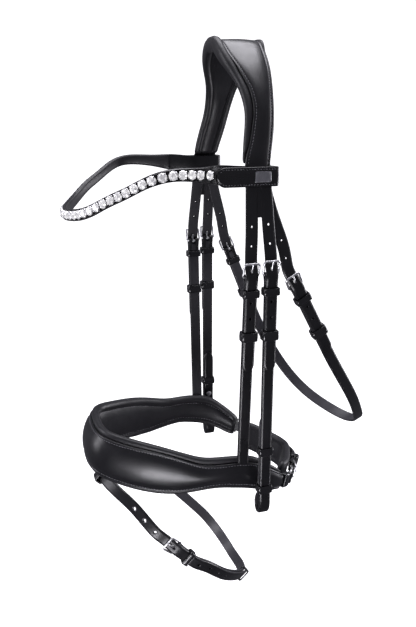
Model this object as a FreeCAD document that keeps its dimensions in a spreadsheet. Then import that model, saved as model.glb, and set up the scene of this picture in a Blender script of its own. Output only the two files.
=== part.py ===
import FreeCAD, Part
import math, os
from FreeCAD import Vector, Placement, Rotation

# Snaffle bridle, millimetres. +Z up, -Y towards the horse's nose and forehead, +X the horse's left (near) side.
# Origin: middle of the underside of the headpiece padding, where it rests on the poll.

doc = FreeCAD.newDocument("snaffle_bridle")
sheet = doc.addObject("Spreadsheet::Sheet", "Dimensions")
DIMS = [
    ("strap_width", 12.0, "width of every narrow strap"),
    ("strap_thick", 3.4, "two-layer strap thickness"),
    ("billet_thick", 2.2, "billet and tail thickness"),
    ("heel_wire", 1.05, "buckle frame half thickness"),
    ("frame_half", 8.5, "buckle frame outer half width"),
    ("frame_inner", 6.4, "buckle frame inner half width"),
    ("front_bar_up", 13.5, "front bar above the heel bar, along the strap"),
    ("front_bar_out", 3.8, "front bar outward of the heel bar"),
    ("chape_radius", 3.3, "outer radius of the chape round the heel bar"),
    ("chape_bore", 1.3, "bore of the chape"),
    ("slot_half", 1.7, "half width of the tongue slot in the chape"),
    ("eye_outer", 2.0, "tongue eye outer radius"),
    ("eye_bore", 1.15, "tongue eye bore"),
    ("eye_width", 2.6, "tongue eye width"),
    ("prong_thick", 1.5, "tongue prong thickness"),
    ("tail_length", 84.0, "throat billet tail below the heel bar"),
    ("long_tail_length", 94.0, "cheek and nose billet tails below the heel bar"),
    ("hole_radius", 1.3, "adjusting hole radius"),
    ("hole_pitch", 15.5, "adjusting hole pitch"),
    ("hole_count", 3.0, "adjusting holes in a tail"),
    ("keeper_wall", 1.7, "keeper wall"),
    ("fixed_keeper_height", 7.0, "fixed keeper height"),
    ("runner_height", 9.0, "sliding keeper height"),
    ("end_keeper_height", 8.0, "flash strap end keeper height"),
    ("bit_keeper_height", 8.0, "keeper height at the bit loop"),
    ("headpiece_thick", 3.2, "headpiece leather thickness"),
    ("headpiece_pad_top", 7.6, "padding thickness at the poll"),
    ("headpiece_pad_end", 4.6, "padding thickness at the leg ends"),
    ("pad_end_drop", 97.5, "padding ends this far below the poll"),
    ("browband_thick", 2.4, "browband leather thickness"),
    ("lining_thick", 1.8, "browband lining thickness"),
    ("tab_thick", 2.2, "fold-over tab thickness"),
    ("tab_height", 17.5, "fold-over tab height"),
    ("tab_length", 57.0, "fold-over tab length"),
    ("crystal_radius", 3.7, "crystal radius at the girdle"),
    ("crystal_height", 2.2, "crystal height above its setting"),
    ("setting_radius", 4.1, "setting radius"),
    ("setting_height", 1.3, "setting height"),
    ("crystal_pitch", 8.6, "crystal pitch"),
    ("noseband_tilt", 12.3, "noseband slope, degrees, front higher"),
    ("noseband_thick", 4.0, "noseband stuffed leather thickness"),
    ("noseband_pad", 8.0, "noseband padding thickness"),
    ("flash_thick", 2.6, "flash strap thickness"),
    ("chin_pad_thick", 8.0, "chin pad thickness"),
    ("ring_wire", 1.6, "crank ring wire radius"),
]
for i, (alias, value, what) in enumerate(DIMS, 1):
    sheet.set("A%d" % i, what)
    sheet.set("B%d" % i, repr(value))
    sheet.setAlias("B%d" % i, alias)
doc.recompute()


def dim(alias):
    return float(sheet.get(alias))


NODES = {}


def vec(p):
    return Vector(*[float(c) for c in p])


def keep(obj, label):
    """Registers a document object as one exported sub-part."""
    obj.Label = label
    NODES[label] = obj
    return obj


def feature(label, shape, placement=None):
    """A sub-part whose shape is a free three-dimensional form."""
    obj = doc.addObject("Part::Feature", label)
    obj.Shape = shape
    if placement is not None:
        obj.Placement = placement
    return keep(obj, label)


def group(label, members):
    obj = doc.addObject("Part::Compound", label)
    obj.Links = members
    return keep(obj, label)


# ---------------------------------------------------------------- sketches
def plane_of(body, role):
    return [f for f in body.Origin.OriginFeatures if f.Role == role][0]


def sketch_on(body, role, name, offset=0.0):
    sk = body.newObject("Sketcher::SketchObject", name)
    sk.AttachmentSupport = [(plane_of(body, role), "")]
    sk.MapMode = "FlatFace"
    if offset:
        sk.AttachmentOffset = Placement(Vector(0, 0, offset), Rotation())
    return sk


def poly(sk, pts):
    n = len(pts)
    for i in range(n):
        a, b = pts[i], pts[(i + 1) % n]
        sk.addGeometry(Part.LineSegment(Vector(a[0], a[1], 0), Vector(b[0], b[1], 0)), False)


def circle(sk, c, r):
    return sk.addGeometry(Part.Circle(Vector(c[0], c[1], 0), Vector(0, 0, 1), r), False)


def bound_circle(sk, c, r, alias):
    g = circle(sk, c, r)
    k = sk.addConstraint(__import__("Sketcher").Constraint("Radius", g, r))
    sk.setExpression("Constraints[%d]" % k, "Dimensions." + alias)


def rounded_box(sk, x0, y0, x1, y1, r):
    """Closed rectangle with round corners."""
    s = math.sqrt(0.5)
    P = lambda x, y: Vector(x, y, 0)
    seg = lambda a, b: sk.addGeometry(Part.LineSegment(a, b), False)
    arc = lambda a, m, b: sk.addGeometry(Part.Arc(a, m, b), False)
    seg(P(x0 + r, y0), P(x1 - r, y0))
    arc(P(x1 - r, y0), P(x1 - r + r * s, y0 + r - r * s), P(x1, y0 + r))
    seg(P(x1, y0 + r), P(x1, y1 - r))
    arc(P(x1, y1 - r), P(x1 - r + r * s, y1 - r + r * s), P(x1 - r, y1))
    seg(P(x1 - r, y1), P(x0 + r, y1))
    arc(P(x0 + r, y1), P(x0 + r - r * s, y1 - r + r * s), P(x0, y1 - r))
    seg(P(x0, y1 - r), P(x0, y0 + r))
    arc(P(x0, y0 + r), P(x0 + r - r * s, y0 + r - r * s), P(x0 + r, y0))


def spline_edge(sk, pts):
    c = Part.BSplineCurve()
    c.interpolate([Vector(p[0], p[1], 0) for p in pts])
    sk.addGeometry(c, False)


def pad(body, sk, length, name="Pad", both=True, reverse=False):
    p = body.newObject("PartDesign::Pad", name)
    p.Profile = sk
    if isinstance(length, str):
        p.setExpression("Length", "Dimensions." + length)
    else:
        p.Length = length
    if both:
        p.SideType = "Symmetric"
    p.Reversed = reverse
    doc.recompute()
    return p


def pocket(body, sk, length, name="Pocket", both=True, reverse=False):
    before = body.Shape.Volume
    p = body.newObject("PartDesign::Pocket", name)
    p.Profile = sk
    p.Length = length
    if both:
        p.SideType = "Symmetric"
    p.Reversed = reverse
    doc.recompute()
    if not body.Shape.Volume < before - 1e-3:
        raise RuntimeError("pocket %s of %s cuts nothing" % (name, body.Label))
    return p


def new_body(label):
    b = doc.addObject("PartDesign::Body", label)
    b.Label = label
    return b


# ---------------------------------------------------------------- curves
def spline(pts, n=60, closed=False):
    """Natural cubic through the points, resampled at equal steps of length."""
    P = [tuple(map(float, p)) for p in pts]
    if closed:
        P = P[-3:] + P + P[:4]
    m, d = len(P), len(P[0])
    T = [0.0]
    for i in range(1, m):
        T.append(T[-1] + max(1e-9, math.dist(P[i], P[i - 1]) ** 0.75))
    M = []
    for k in range(d):
        a, b, c, r = [0.0] * m, [1.0] * m, [0.0] * m, [0.0] * m
        for i in range(1, m - 1):
            h0, h1 = T[i] - T[i - 1], T[i + 1] - T[i]
            a[i], b[i], c[i] = h0, 2 * (h0 + h1), h1
            r[i] = 6 * ((P[i + 1][k] - P[i][k]) / h1 - (P[i][k] - P[i - 1][k]) / h0)
        for i in range(1, m):
            w = a[i] / b[i - 1]
            b[i] -= w * c[i - 1]
            r[i] -= w * r[i - 1]
        x = [0.0] * m
        x[m - 1] = r[m - 1] / b[m - 1]
        for i in range(m - 2, -1, -1):
            x[i] = (r[i] - c[i] * x[i + 1]) / b[i]
        M.append(x)

    def ev(t):
        i = 0
        while i < m - 2 and t > T[i + 1]:
            i += 1
        h = T[i + 1] - T[i]
        A, B = (T[i + 1] - t) / h, (t - T[i]) / h
        return tuple(
            A * P[i][k] + B * P[i + 1][k] + ((A ** 3 - A) * M[k][i] + (B ** 3 - B) * M[k][i + 1]) * h * h / 6
            for k in range(d)
        )

    t0, t1 = (T[3], T[m - 4]) if closed else (T[0], T[-1])
    dense = [ev(t0 + (t1 - t0) * i / (n * 8)) for i in range(n * 8 + 1)]
    return resample(dense, n)


def resample(dense, n):
    L = [0.0]
    for i in range(1, len(dense)):
        L.append(L[-1] + math.dist(dense[i], dense[i - 1]))
    out, j = [], 0
    for i in range(n + 1):
        s = L[-1] * i / n
        while j < len(L) - 2 and L[j + 1] < s:
            j += 1
        f = (s - L[j]) / max(1e-12, L[j + 1] - L[j])
        out.append(tuple(dense[j][k] + (dense[j + 1][k] - dense[j][k]) * f for k in range(len(dense[0]))))
    return out


def lerp(table, x):
    if x <= table[0][0]:
        return table[0][1]
    for (a, b), (c, d) in zip(table, table[1:]):
        if x <= c:
            return b + (d - b) * (x - a) / (c - a)
    return table[-1][1]


def offset2(pts, dist, closed=False):
    """Offsets a planar polyline to its left by dist, which may be a function of the index."""
    n = len(pts)
    out = []
    for i in range(n):
        if closed:
            a, b = pts[(i - 1) % (n - 1)], pts[(i + 1) % (n - 1)]
        else:
            a, b = pts[max(0, i - 1)], pts[min(n - 1, i + 1)]
        tx, ty = b[0] - a[0], b[1] - a[1]
        l = math.hypot(tx, ty)
        d = dist(i) if callable(dist) else dist
        out.append((pts[i][0] - ty / l * d, pts[i][1] + tx / l * d))
    return out


def prism(pts3, direction):
    """Face through the closed polyline, extruded along direction."""
    w = Part.makePolygon([vec(p) for p in pts3] + [vec(pts3[0])])
    return Part.Face(w).extrude(vec(direction))


def band(path, widths, half, lo, hi):
    """Strap as a ruled loft: path of centres, width directions, half width, and the two faces' offsets along the normal."""
    n = len(path)
    wires = []
    for i in range(n):
        a, b = vec(path[max(0, i - 1)]), vec(path[min(n - 1, i + 1)])
        t = (b - a).normalize()
        w = vec(widths[i])
        w = (w - t * w.dot(t)).normalize()
        m = w.cross(t)
        c = vec(path[i])
        h = half(i) if callable(half) else half
        q = [c + w * h + m * lo, c + w * h + m * hi, c - w * h + m * hi, c - w * h + m * lo]
        wires.append(Part.makePolygon(q + [q[0]]))
    return Part.makeLoft(wires, True, True)


# ---------------------------------------------------------------- buckle stations
# Each buckle has local axes: X outward from the strap, Y across it, Z up the strap towards the billet.
# The pivot is 10.8 mm up and 1.5 mm out from the heel bar: there the billet bends.
PIVOT_UP, PIVOT_OUT = 10.8, 1.5


def station(pivot, up, out):
    u = vec(up).normalize()
    o = vec(out)
    o = (o - u * o.dot(u)).normalize()
    y = u.cross(o)
    h = vec(pivot) - u * PIVOT_UP - o * PIVOT_OUT
    m = FreeCAD.Matrix(o.x, y.x, u.x, h.x, o.y, y.y, u.y, h.y, o.z, y.z, u.z, h.z, 0, 0, 0, 1)
    return Placement(m)


ST = {
    "near_cheek": station((99.8, 0, -184.7), (0, 0, 1), (1, 0, 0)),
    "far_cheek": station((-99.8, 0, -184.7), (0, 0, 1), (-1, 0, 0)),
    "near_nose": station((97.0, -18.3, -186.7), (0.062, 0, 0.998), (1, 0, 0)),
    "far_nose": station((-97.0, -18.3, -186.7), (-0.062, 0, 0.998), (-1, 0, 0)),
    "near_throat": station((97.3, 22.5, -200.0), (0.131, -0.499, 0.857), (1, 0, 0)),
    "far_throat": station((-97.3, 22.5, -200.0), (-0.033, -0.365, 0.930), (-1, 0, 0)),
    "flash": station((73.0, -94.0, -480.3), (-0.13, -0.71, 0.69), (1, 0, 0)),
}


def at(st, n, u, v):
    """World point of a station's local coordinates."""
    return ST[st].multVec(Vector(n, u, v))


def axis_of(st, v):
    return ST[st].Rotation.multVec(vec(v))


TILT = math.atan2(dim("front_bar_out"), dim("front_bar_up"))
FRAME_LEN = math.hypot(dim("front_bar_out"), dim("front_bar_up"))


def buckle_frame(label, st):
    """Flat wire frame with round corners: the rear bar is the heel bar, the far bar carries the tongue's tip."""
    b = new_body(label)
    w, h, hi = dim("heel_wire"), dim("frame_half"), dim("frame_inner")
    sk = sketch_on(b, "XY_Plane", label + "_outline")
    rounded_box(sk, -w, -h, FRAME_LEN + w, h, 3.0)
    rounded_box(sk, w, -hi, FRAME_LEN - w, hi, 1.2)
    pad(b, sk, 2 * w, label + "_pad")
    f = b.newObject("PartDesign::Fillet", label + "_round")
    edges = []
    for i, e in enumerate(b.Shape.Edges, 1):
        z = [v.Z for v in e.Vertexes]
        if max(z) - min(z) < 1e-6:
            edges.append("Edge%d" % i)
    f.Base = (b.Tip if b.Tip is not None and b.Tip != f else None, edges) if False else (doc.getObject(label + "_pad"), edges)
    f.Radius = w - 0.12
    b.Tip = f
    doc.recompute()
    s, c = math.sin(TILT), math.cos(TILT)
    local = Placement(FreeCAD.Matrix(s, 0, -c, 0, 0, 1, 0, 0, c, 0, s, 0, 0, 0, 0, 1))
    b.Placement = ST[st].multiply(local)
    return b


PRONG0, PRONG1 = (1.3, 0.8), (6.35, 14.8)  # (out, up) ends of the tongue's centre line


def prong_poly(lo, hi, extend=0.0):
    dx, dz = PRONG1[0] - PRONG0[0], PRONG1[1] - PRONG0[1]
    l = math.hypot(dx, dz)
    dx, dz = dx / l, dz / l
    nx, nz = dz, -dx  # outward of the prong
    a = (PRONG0[0] - dx * extend, PRONG0[1] - dz * extend)
    e = (PRONG1[0] + dx * extend, PRONG1[1] + dz * extend)
    return [
        (a[0] + nx * lo, a[1] + nz * lo),
        (e[0] + nx * lo, e[1] + nz * lo),
        (e[0] + nx * hi, e[1] + nz * hi),
        (a[0] + nx * hi, a[1] + nz * hi),
    ]


def buckle_tongue(label, st):
    b = new_body(label)
    sk = sketch_on(b, "XZ_Plane", label + "_eye")
    bound_circle(sk, (0, 0), dim("eye_outer"), "eye_outer")
    bound_circle(sk, (0, 0), dim("eye_bore"), "eye_bore")
    pad(b, sk, "eye_width", label + "_eye_pad")
    sk = sketch_on(b, "XZ_Plane", label + "_prong")
    t = dim("prong_thick") / 2
    poly(sk, prong_poly(-t, t))
    pad(b, sk, "prong_thick", label + "_prong_pad")
    b.Placement = ST[st]
    return b


TAIL_PATH = [(1.6, 10.2), (2.4, 8), (3.35, 5), (4.3, 2.2), (4.75, -0.4), (4.55, -3.2), (4.0, -6.5), (3.55, -10.5), (3.4, -16)]


def tail_length(st):
    return dim("tail_length") if "throat" in st else dim("long_tail_length")


def tail_outline(thick, length):
    path = spline(TAIL_PATH, 26) + [(3.4, -length)]
    a, b = offset2(path, thick / 2), offset2(path, -thick / 2)
    return a + b[::-1]


def billet_tail(label, st):
    b = new_body(label)
    sk = sketch_on(b, "XZ_Plane", label + "_side")
    poly(sk, tail_outline(dim("billet_thick"), tail_length(st)))
    pad(b, sk, "strap_width", label + "_pad")
    sk = sketch_on(b, "XZ_Plane", label + "_tongue_hole")
    poly(sk, prong_poly(-1.0, 2.1, 3.0))
    pocket(b, sk, 2.3, label + "_tongue_pocket")
    sk = sketch_on(b, "YZ_Plane", label + "_hole")
    bound_circle(sk, (0, -24.0), dim("hole_radius"), "hole_radius")
    hole = pocket(b, sk, 30.0, label + "_hole_pocket")
    lp = b.newObject("PartDesign::LinearPattern", label + "_holes")
    lp.Originals = [hole]
    lp.Direction = (sk, ["V_Axis"])
    lp.Length = 2 * dim("hole_pitch")
    lp.setExpression("Length", "Dimensions.hole_pitch * 2")
    lp.Occurrences = 3
    lp.Reversed = True
    b.Tip = lp
    doc.recompute()
    sk = sketch_on(b, "YZ_Plane", label + "_tip")
    L, h = tail_length(st), dim("strap_width") / 2
    for s in (1, -1):
        poly(sk, [(s * (h + 1), -L + 9.0), (s * h, -L + 9.0), (s * (h - 0.9), -L + 4.6), (s * (h - 3.0), -L + 1.4), (s * 1.2, -L), (s * 1.2, -L - 2), (s * (h + 1), -L - 2)])
    pocket(b, sk, 30.0, label + "_tip_pocket")
    b.Placement = ST[st]
    return b


def keeper(label, st, v, height_alias, inner=(-1.75, 4.9), wall_in=True):
    """Rectangular leather loop round the strap; v is its lower edge along the strap."""
    b = new_body(label)
    w, h = dim("keeper_wall"), dim("strap_width") / 2
    sk = sketch_on(b, "XY_Plane", label + "_outline", v)
    rounded_box(sk, inner[0] - w, -h - 0.4 - w, inner[1] + w, h + 0.4 + w, 1.6)
    rounded_box(sk, inner[0], -h - 0.4, inner[1], h + 0.4, 0.5)
    pad(b, sk, height_alias, label + "_pad", both=False)
    b.Placement = ST[st]
    return b


def chape_local():
    """Leather ring round the heel bar with the tongue's slot, in local axes."""
    w = dim("strap_width")
    ring = Part.makeCylinder(dim("chape_radius"), w, Vector(0, -w / 2, 0), Vector(0, 1, 0))
    return ring


def chape_cuts():
    w = dim("strap_width")
    bore = Part.makeCylinder(dim("chape_bore"), w + 2, Vector(0, -w / 2 - 1, 0), Vector(0, 1, 0))
    s = dim("slot_half")
    slot = Part.makeBox(12, 2 * s, 12, Vector(-6, -s, -2.7))
    return bore.fuse(slot)


# ---------------------------------------------------------------- headpiece
ARCH = [(0, 13.2), (12, 11.4), (24, 3.6), (40, -10.5), (50, -22), (58.5, -34), (68, -52), (77, -77), (81.5, -92), (84.6, -106)]
FRONT = [(-120, -20.3), (-98, -20.3), (-88, -18), (-78, -14.2), (-63, -10.2), (-52, -7.6), (-34, -7.8), (-24, -10.6), (-10, -15.8), (2, -20), (13.3, -21.5)]
BACK = [(-120, 3.8), (-98, 3.8), (-72, 8.6), (-52, 11.9), (-34, 14), (-16, 16.4), (0, 18), (13.3, 19)]
PAD_FRONT = [(-120, -21.6), (-98, -21.6), (-72, -18.0), (-52, -14.7), (-35, -15.2), (-23, -17.8), (-12, -22.4), (0, -27.2), (13.3, -29.2)]
PAD_BACK = [(-120, 4.6), (-98, 4.6), (-72, 9.8), (-52, 13.1), (-34, 15.4), (-16, 18.2), (0, 20.4), (13.3, 21.4)]

arch = spline([(-x, z) for x, z in ARCH[::-1][:-1]] + ARCH, 96)  # left to right over the poll


def arch_slab(outer, inner, y0, y1):
    ring = outer + inner[::-1]
    return prism([(x, y0, z) for x, z in ring], (0, y1 - y0, 0))


def side_cut(front, back, z0, z1, n=30):
    zs = [z0 + (z1 - z0) * i / n for i in range(n + 1)]
    f = [(-200, lerp(front, z), z) for z in zs]
    b = [(-200, lerp(back, z), z) for z in zs]
    return prism(f + b[::-1], (400, 0, 0))


th = dim("headpiece_thick")
inner_arch = offset2(arch, -th)  # right of the direction of travel is the inside
leather = arch_slab(arch, inner_arch, -60, 60).common(side_cut(FRONT, BACK, -112, 20))

W = dim("strap_width")
BT = dim("billet_thick")
for s, side in ((1, "near"), (-1, "far")):
    def mirrored(pts):
        return [(s * x, y, z) for x, y, z in pts]

    def billet(points, station_name, width0, thick):
        end = at(station_name, 1.4, 0, PIVOT_UP + 0.6)
        up = axis_of(station_name, (0, 0, 1))
        before = end + up * 6.0 - axis_of(station_name, (1, 0, 0)) * 1.7
        path = spline(mirrored(points) + [tuple(before), tuple(end)], 18)
        wid = axis_of(station_name, (0, 1, 0)) * s
        ws = []
        for i in range(len(path)):
            f = i / (len(path) - 1)
            ws.append(Vector(0, 1, 0) * (1 - f) + wid * f)
        return band(path, ws, W / 2, -thick / 2, thick / 2)

    nose = billet([(82.0, -14.35, -97.5), (84.15, -14.6, -110), (88.4, -15.7, -135), (93.6, -17.3, -163)], side + "_nose", 12, BT)
    cheek = billet([(82.0, -2.15, -97.5), (84.3, -2.0, -110), (89.0, -1.2, -135), (94.8, -0.4, -163)], side + "_cheek", 12, BT)
    throat = billet([(78.9, -4.0, -98.2), (81.0, -2.4, -110), (84.4, 2.0, -130), (88.4, 8.6, -152), (92.9, 15.8, -176)], side + "_throat", 12, BT)
    leather = leather.fuse([nose, cheek, throat])
    # adjusting holes in the three billets
    for name, ys in (("nose", (18.0, 35.0)), ("cheek", (18.0, 35.0)), ("throat", (19.0, 35.0))):
        up = axis_of(side + "_" + name, (0, 0, 1))
        for v in ys:
            base = at(side + "_" + name, 0, 0, 11 + v)
            if name != "throat":
                base = Vector(base.x, base.y + (0.05 * v if name == "nose" else -0.02 * v), base.z)
            else:
                base = Vector(base.x, 22.2 - 0.31 * v, -199.5 + 0.95 * v)
            leather = leather.cut(Part.makeCylinder(dim("hole_radius"), 60, Vector(base.x - 30, base.y, base.z), Vector(1, 0, 0)))
feature("headpiece_leather", leather.removeSplitter())

n_arch = len(arch)


def pad_thick(i):
    x, z = arch[i]
    f = min(1.0, max(0.0, (13.2 - z) / (13.2 + dim("pad_end_drop"))))
    return dim("headpiece_pad_top") + (dim("headpiece_pad_end") - dim("headpiece_pad_top")) * f ** 0.6


pad_inner = offset2(arch, lambda i: -th - pad_thick(i))
padding = arch_slab(inner_arch, pad_inner, -60, 60).common(side_cut(PAD_FRONT, PAD_BACK, -dim("pad_end_drop"), 20))
feature("headpiece_pad", padding)

# ---------------------------------------------------------------- cheekpieces
LOOP = [(0, -226), (0.5, -233), (0.4, -240), (-1.3, -247), (-5.6, -250.8), (-9.8, -248.6), (-11.4, -243), (-10.2, -236.5), (-6.6, -230.8), (-4.4, -226), (-3.8, -221)]
TIP = -143.0


def cheek_strap(label, st):
    """Strap with its chape at the top and the folded bit loop at the bottom."""
    b = new_body(label)
    t = dim("strap_thick") / 2
    path = [(0.0, -1.2)] + [(0.0, -60.0), (0.0, -140.0), (0.0, -200.0)] + spline(LOOP, 40) + [(-3.8, -200.0), (-3.8, TIP)]
    a, c = offset2(path, t), offset2(path, -t)
    sk = sketch_on(b, "XZ_Plane", label + "_side")
    poly(sk, a + c[::-1])
    pad(b, sk, "strap_width", label + "_pad")
    sk = sketch_on(b, "XZ_Plane", label + "_chape")
    bound_circle(sk, (0, 0), dim("chape_radius"), "chape_radius")
    pad(b, sk, "strap_width", label + "_chape_pad")
    sk = sketch_on(b, "XZ_Plane", label + "_bore")
    bound_circle(sk, (0, 0), dim("chape_bore"), "chape_bore")
    pocket(b, sk, 20.0, label + "_bore_pocket")
    sk = sketch_on(b, "XZ_Plane", label + "_slot")
    poly(sk, [(-5, -2.7), (5, -2.7), (5, 6), (-5, 6)])
    pocket(b, sk, 2 * dim("slot_half"), label + "_slot_pocket")
    sk = sketch_on(b, "YZ_Plane", label + "_stud_hole", -1.9)
    circle(sk, (0, -197.5), 2.3)
    pocket(b, sk, 6.0, label + "_stud_pocket", both=False, reverse=False)
    b.Placement = ST[st]
    return keep(b, label)


for side in ("near", "far"):
    st = side + "_cheek"
    cheek_strap(st + "_strap", st)
    keep(buckle_frame(st + "_buckle", st), st + "_buckle")
    keep(buckle_tongue(st + "_tongue", st), st + "_tongue")
    keep(billet_tail(st + "_tail", st), st + "_tail")
    k0 = keeper(st + "_fixed_keeper", st, -18.5, "fixed_keeper_height")
    keep(keeper(st + "_runner", st, -62.0, "runner_height"), st + "_runner")
    # hook stud: shank, and a head that the hole in the folded end slips over
    shank = doc.addObject("Part::Cylinder", st + "_stud_shank")
    shank.Radius = 1.7
    shank.Height = 4.6
    shank.Placement = Placement(Vector(-1.7, 0, -197.5), Rotation(Vector(0, 1, 0), -90))
    head = doc.addObject("Part::Cone", st + "_stud_head")
    head.Radius1, head.Radius2, head.Height = 2.9, 2.1, 1.3
    head.Placement = Placement(Vector(-5.9, 0, -197.5), Rotation(Vector(0, 1, 0), -90))
    stud = doc.addObject("Part::Fuse", side + "_hook_stud")
    stud.Base, stud.Tool = shank, head
    doc.recompute()
    stud.Placement = ST[st]
    keep(stud, side + "_hook_stud")
    k1 = keeper(side + "_upper_bit_keeper", st, -184.5, "bit_keeper_height", inner=(-5.9, 2.1))
    k2 = keeper(side + "_lower_bit_keeper", st, -226.5, "bit_keeper_height", inner=(-6.3, 2.2))
    group(side + "_cheek_keepers", [k0, k1, k2])

# ---------------------------------------------------------------- noseband
nt = math.radians(dim("noseband_tilt"))
NB = Placement(Vector(0, -20, -397), Rotation(Vector(1, 0, 0), -dim("noseband_tilt")))
PLAN = [(0, -144), (20, -142.5), (37, -135.5), (53, -115), (68, -86), (80, -50), (85.5, -17), (85.8, 8), (80, 40), (59, 71), (30, 87), (0, 91.5)]
TOP = [(-150, 0.5), (-110, 0), (-85, 0.9), (-60, -1), (-40, -2.9), (-20, 0.0), (0, 3.9), (10, 4.2), (20, 2.6), (30, -0.8), (40, -5.2), (50, -9.8), (57, -13.5), (60, -15.5)]
BOT = [(-150, -39), (-110, -41.8), (-85, -40.6), (-60, -36.4), (-40, -30), (-20, -24), (0, -22.5), (20, -23.2), (40, -27.6), (50, -30.4), (57, -31.6), (60, -31)]
PTOP = [(-150, 6), (-110, 6.2), (-85, 6.2), (-60, 4.2), (-40, 3.2), (-20, 6.5), (0, 9.2), (12, 9.2), (24, 6.0), (36, 0.5), (48, -5.5), (57, -10.5), (60, -13)]
PBOT = [(-150, -43), (-110, -45.5), (-85, -44.5), (-60, -40.4), (-40, -34), (-20, -28), (0, -26.5), (20, -27.2), (40, -31.2), (50, -33.6), (57, -34.6), (60, -34)]
ring = spline(PLAN + [(-x, y) for x, y in PLAN[::-1][1:-1]], 160, closed=True)
area = sum(ring[i][0] * ring[i + 1][1] - ring[i + 1][0] * ring[i][1] for i in range(len(ring) - 1))
INWARD = 1.0 if area > 0 else -1.0
TL, TP = dim("noseband_thick"), dim("noseband_pad")
r1 = offset2(ring, INWARD * TL, True)
r2 = offset2(ring, INWARD * (TL + TP), True)


def ring_wall(outer, inner, z0, z1):
    o = Part.Face(Part.makePolygon([Vector(x, y, z0) for x, y in outer[:-1]] + [Vector(outer[0][0], outer[0][1], z0)]))
    i = Part.Face(Part.makePolygon([Vector(x, y, z0) for x, y in inner[:-1]] + [Vector(inner[0][0], inner[0][1], z0)]))
    return o.cut(i).extrude(Vector(0, 0, z1 - z0))


def nose_side(top, bot, y0, y1, n=44):
    ys = [y0 + (y1 - y0) * i / n for i in range(n + 1)]
    a = [(-120, y, lerp(top, y)) for y in ys]
    b = [(-120, y, lerp(bot, y)) for y in ys]
    return prism(a + b[::-1], (240, 0, 0))


# the leather shell runs from one crank ring round the nose to the other
nb_leather = ring_wall(ring, r1, -60, 30).common(nose_side(TOP, BOT, -150, 58.0))
nb_pad = ring_wall(r1, r2, -60, 30).common(nose_side(PTOP, PBOT, -150, 56.5))

# nose straps: chape, straight strap, lower end sewn in between leather and padding
for side in ("near", "far"):
    st = side + "_nose"
    t = dim("strap_thick") / 2
    strap = Part.makeBox(2 * t, W, 206.0, Vector(-t, -W / 2, -207.2))
    strap = strap.fuse(chape_local()).cut(chape_cuts())
    world = strap.copy()
    world.Placement = ST[st]
    grown = Part.makeBox(2 * t + 0.1, W + 0.1, 60.0, Vector(-t - 0.05, -W / 2 - 0.05, -207.3))
    grown.Placement = ST[st]
    inv = NB.inverse()
    g = grown.copy()
    g.Placement = inv.multiply(ST[st])
    nb_leather = nb_leather.cut(g)
    nb_pad = nb_pad.cut(g)
    b = new_body(side + "_nose_strap")
    sk = sketch_on(b, "XZ_Plane", st + "_strap_side")
    poly(sk, [(-t, -1.2), (t, -1.2), (t, -207.2), (-t, -207.2)])
    pad(b, sk, "strap_width", st + "_strap_pad")
    sk = sketch_on(b, "XZ_Plane", st + "_chape")
    bound_circle(sk, (0, 0), dim("chape_radius"), "chape_radius")
    pad(b, sk, "strap_width", st + "_chape_pad")
    sk = sketch_on(b, "XZ_Plane", st + "_bore")
    bound_circle(sk, (0, 0), dim("chape_bore"), "chape_bore")
    pocket(b, sk, 20.0, st + "_bore_pocket")
    sk = sketch_on(b, "XZ_Plane", st + "_slot")
    poly(sk, [(-5, -2.7), (5, -2.7), (5, 6), (-5, 6)])
    pocket(b, sk, 2 * dim("slot_half"), st + "_slot_pocket")
    b.Placement = ST[st]
    keep(b, side + "_nose_strap")
    keep(buckle_tongue(st + "_tongue", st), st + "_tongue")
    keep(keeper(st + "_runner", st, -62.0, "runner_height"), st + "_runner")

group("nose_buckles", [buckle_frame("near_nose_buckle", "near_nose"), buckle_frame("far_nose_buckle", "far_nose")])
group("nose_tails", [billet_tail("near_nose_tail", "near_nose"), billet_tail("far_nose_tail", "far_nose")])
group("nose_fixed_keepers", [keeper("near_nose_fixed_keeper", "near_nose", -18.5, "fixed_keeper_height"), keeper("far_nose_fixed_keeper", "far_nose", -18.5, "fixed_keeper_height")])

# flash loop: a leather loop hanging under the middle of the noseband
F0 = Vector(0, -150, -430)
Wf = Vector(0, 0.714, 0.70)
Nf = Vector(0, -0.70, 0.714)
b = new_body("flash_loop")
sk = sketch_on(b, "YZ_Plane", "flash_loop_side")
rounded_box(sk, -9.6, -5.1, 9.6, 5.1, 2.0)
rounded_box(sk, -7.6, -3.2, 7.6, 3.2, 1.2)
pad(b, sk, 12.0, "flash_loop_pad")
sk = sketch_on(b, "YZ_Plane", "flash_loop_tab")
ang = math.degrees(math.atan2(0.70, 0.714))
loc = Placement(F0, Rotation(Vector(1, 0, 0), ang))
# tab from the loop's front wall up behind the noseband leather
up1 = loc.inverse().multVec(NB.multVec(Vector(0, -144 + TL + 0.1, -30)))
up2 = loc.inverse().multVec(NB.multVec(Vector(0, -144 + TL + 2.3, -30)))
lo1 = loc.inverse().multVec(NB.multVec(Vector(0, -144 + TL + 0.1, -45.0)))
lo2 = loc.inverse().multVec(NB.multVec(Vector(0, -144 + TL + 2.3, -45.0)))
poly(sk, [(up1.y, up1.z), (up2.y, up2.z), (lo2.y, lo2.z), (4.6, 5.0), (-1.0, 3.9), (-3.0, 5.0), (lo1.y, lo1.z)])
pad(b, sk, 12.0, "flash_loop_tab_pad")
b.Placement = loc
keep(b, "flash_loop")
# seat for that tab in the padding
seat = prism([(-6.2, y, z) for y, z in ((-144 + TL, -29.5), (-144 + TL + 2.5, -29.5), (-144 + TL + 2.5, -60), (-144 + TL, -60))], (12.4, 0, 0))
nb_pad = nb_pad.cut(seat)

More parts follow.
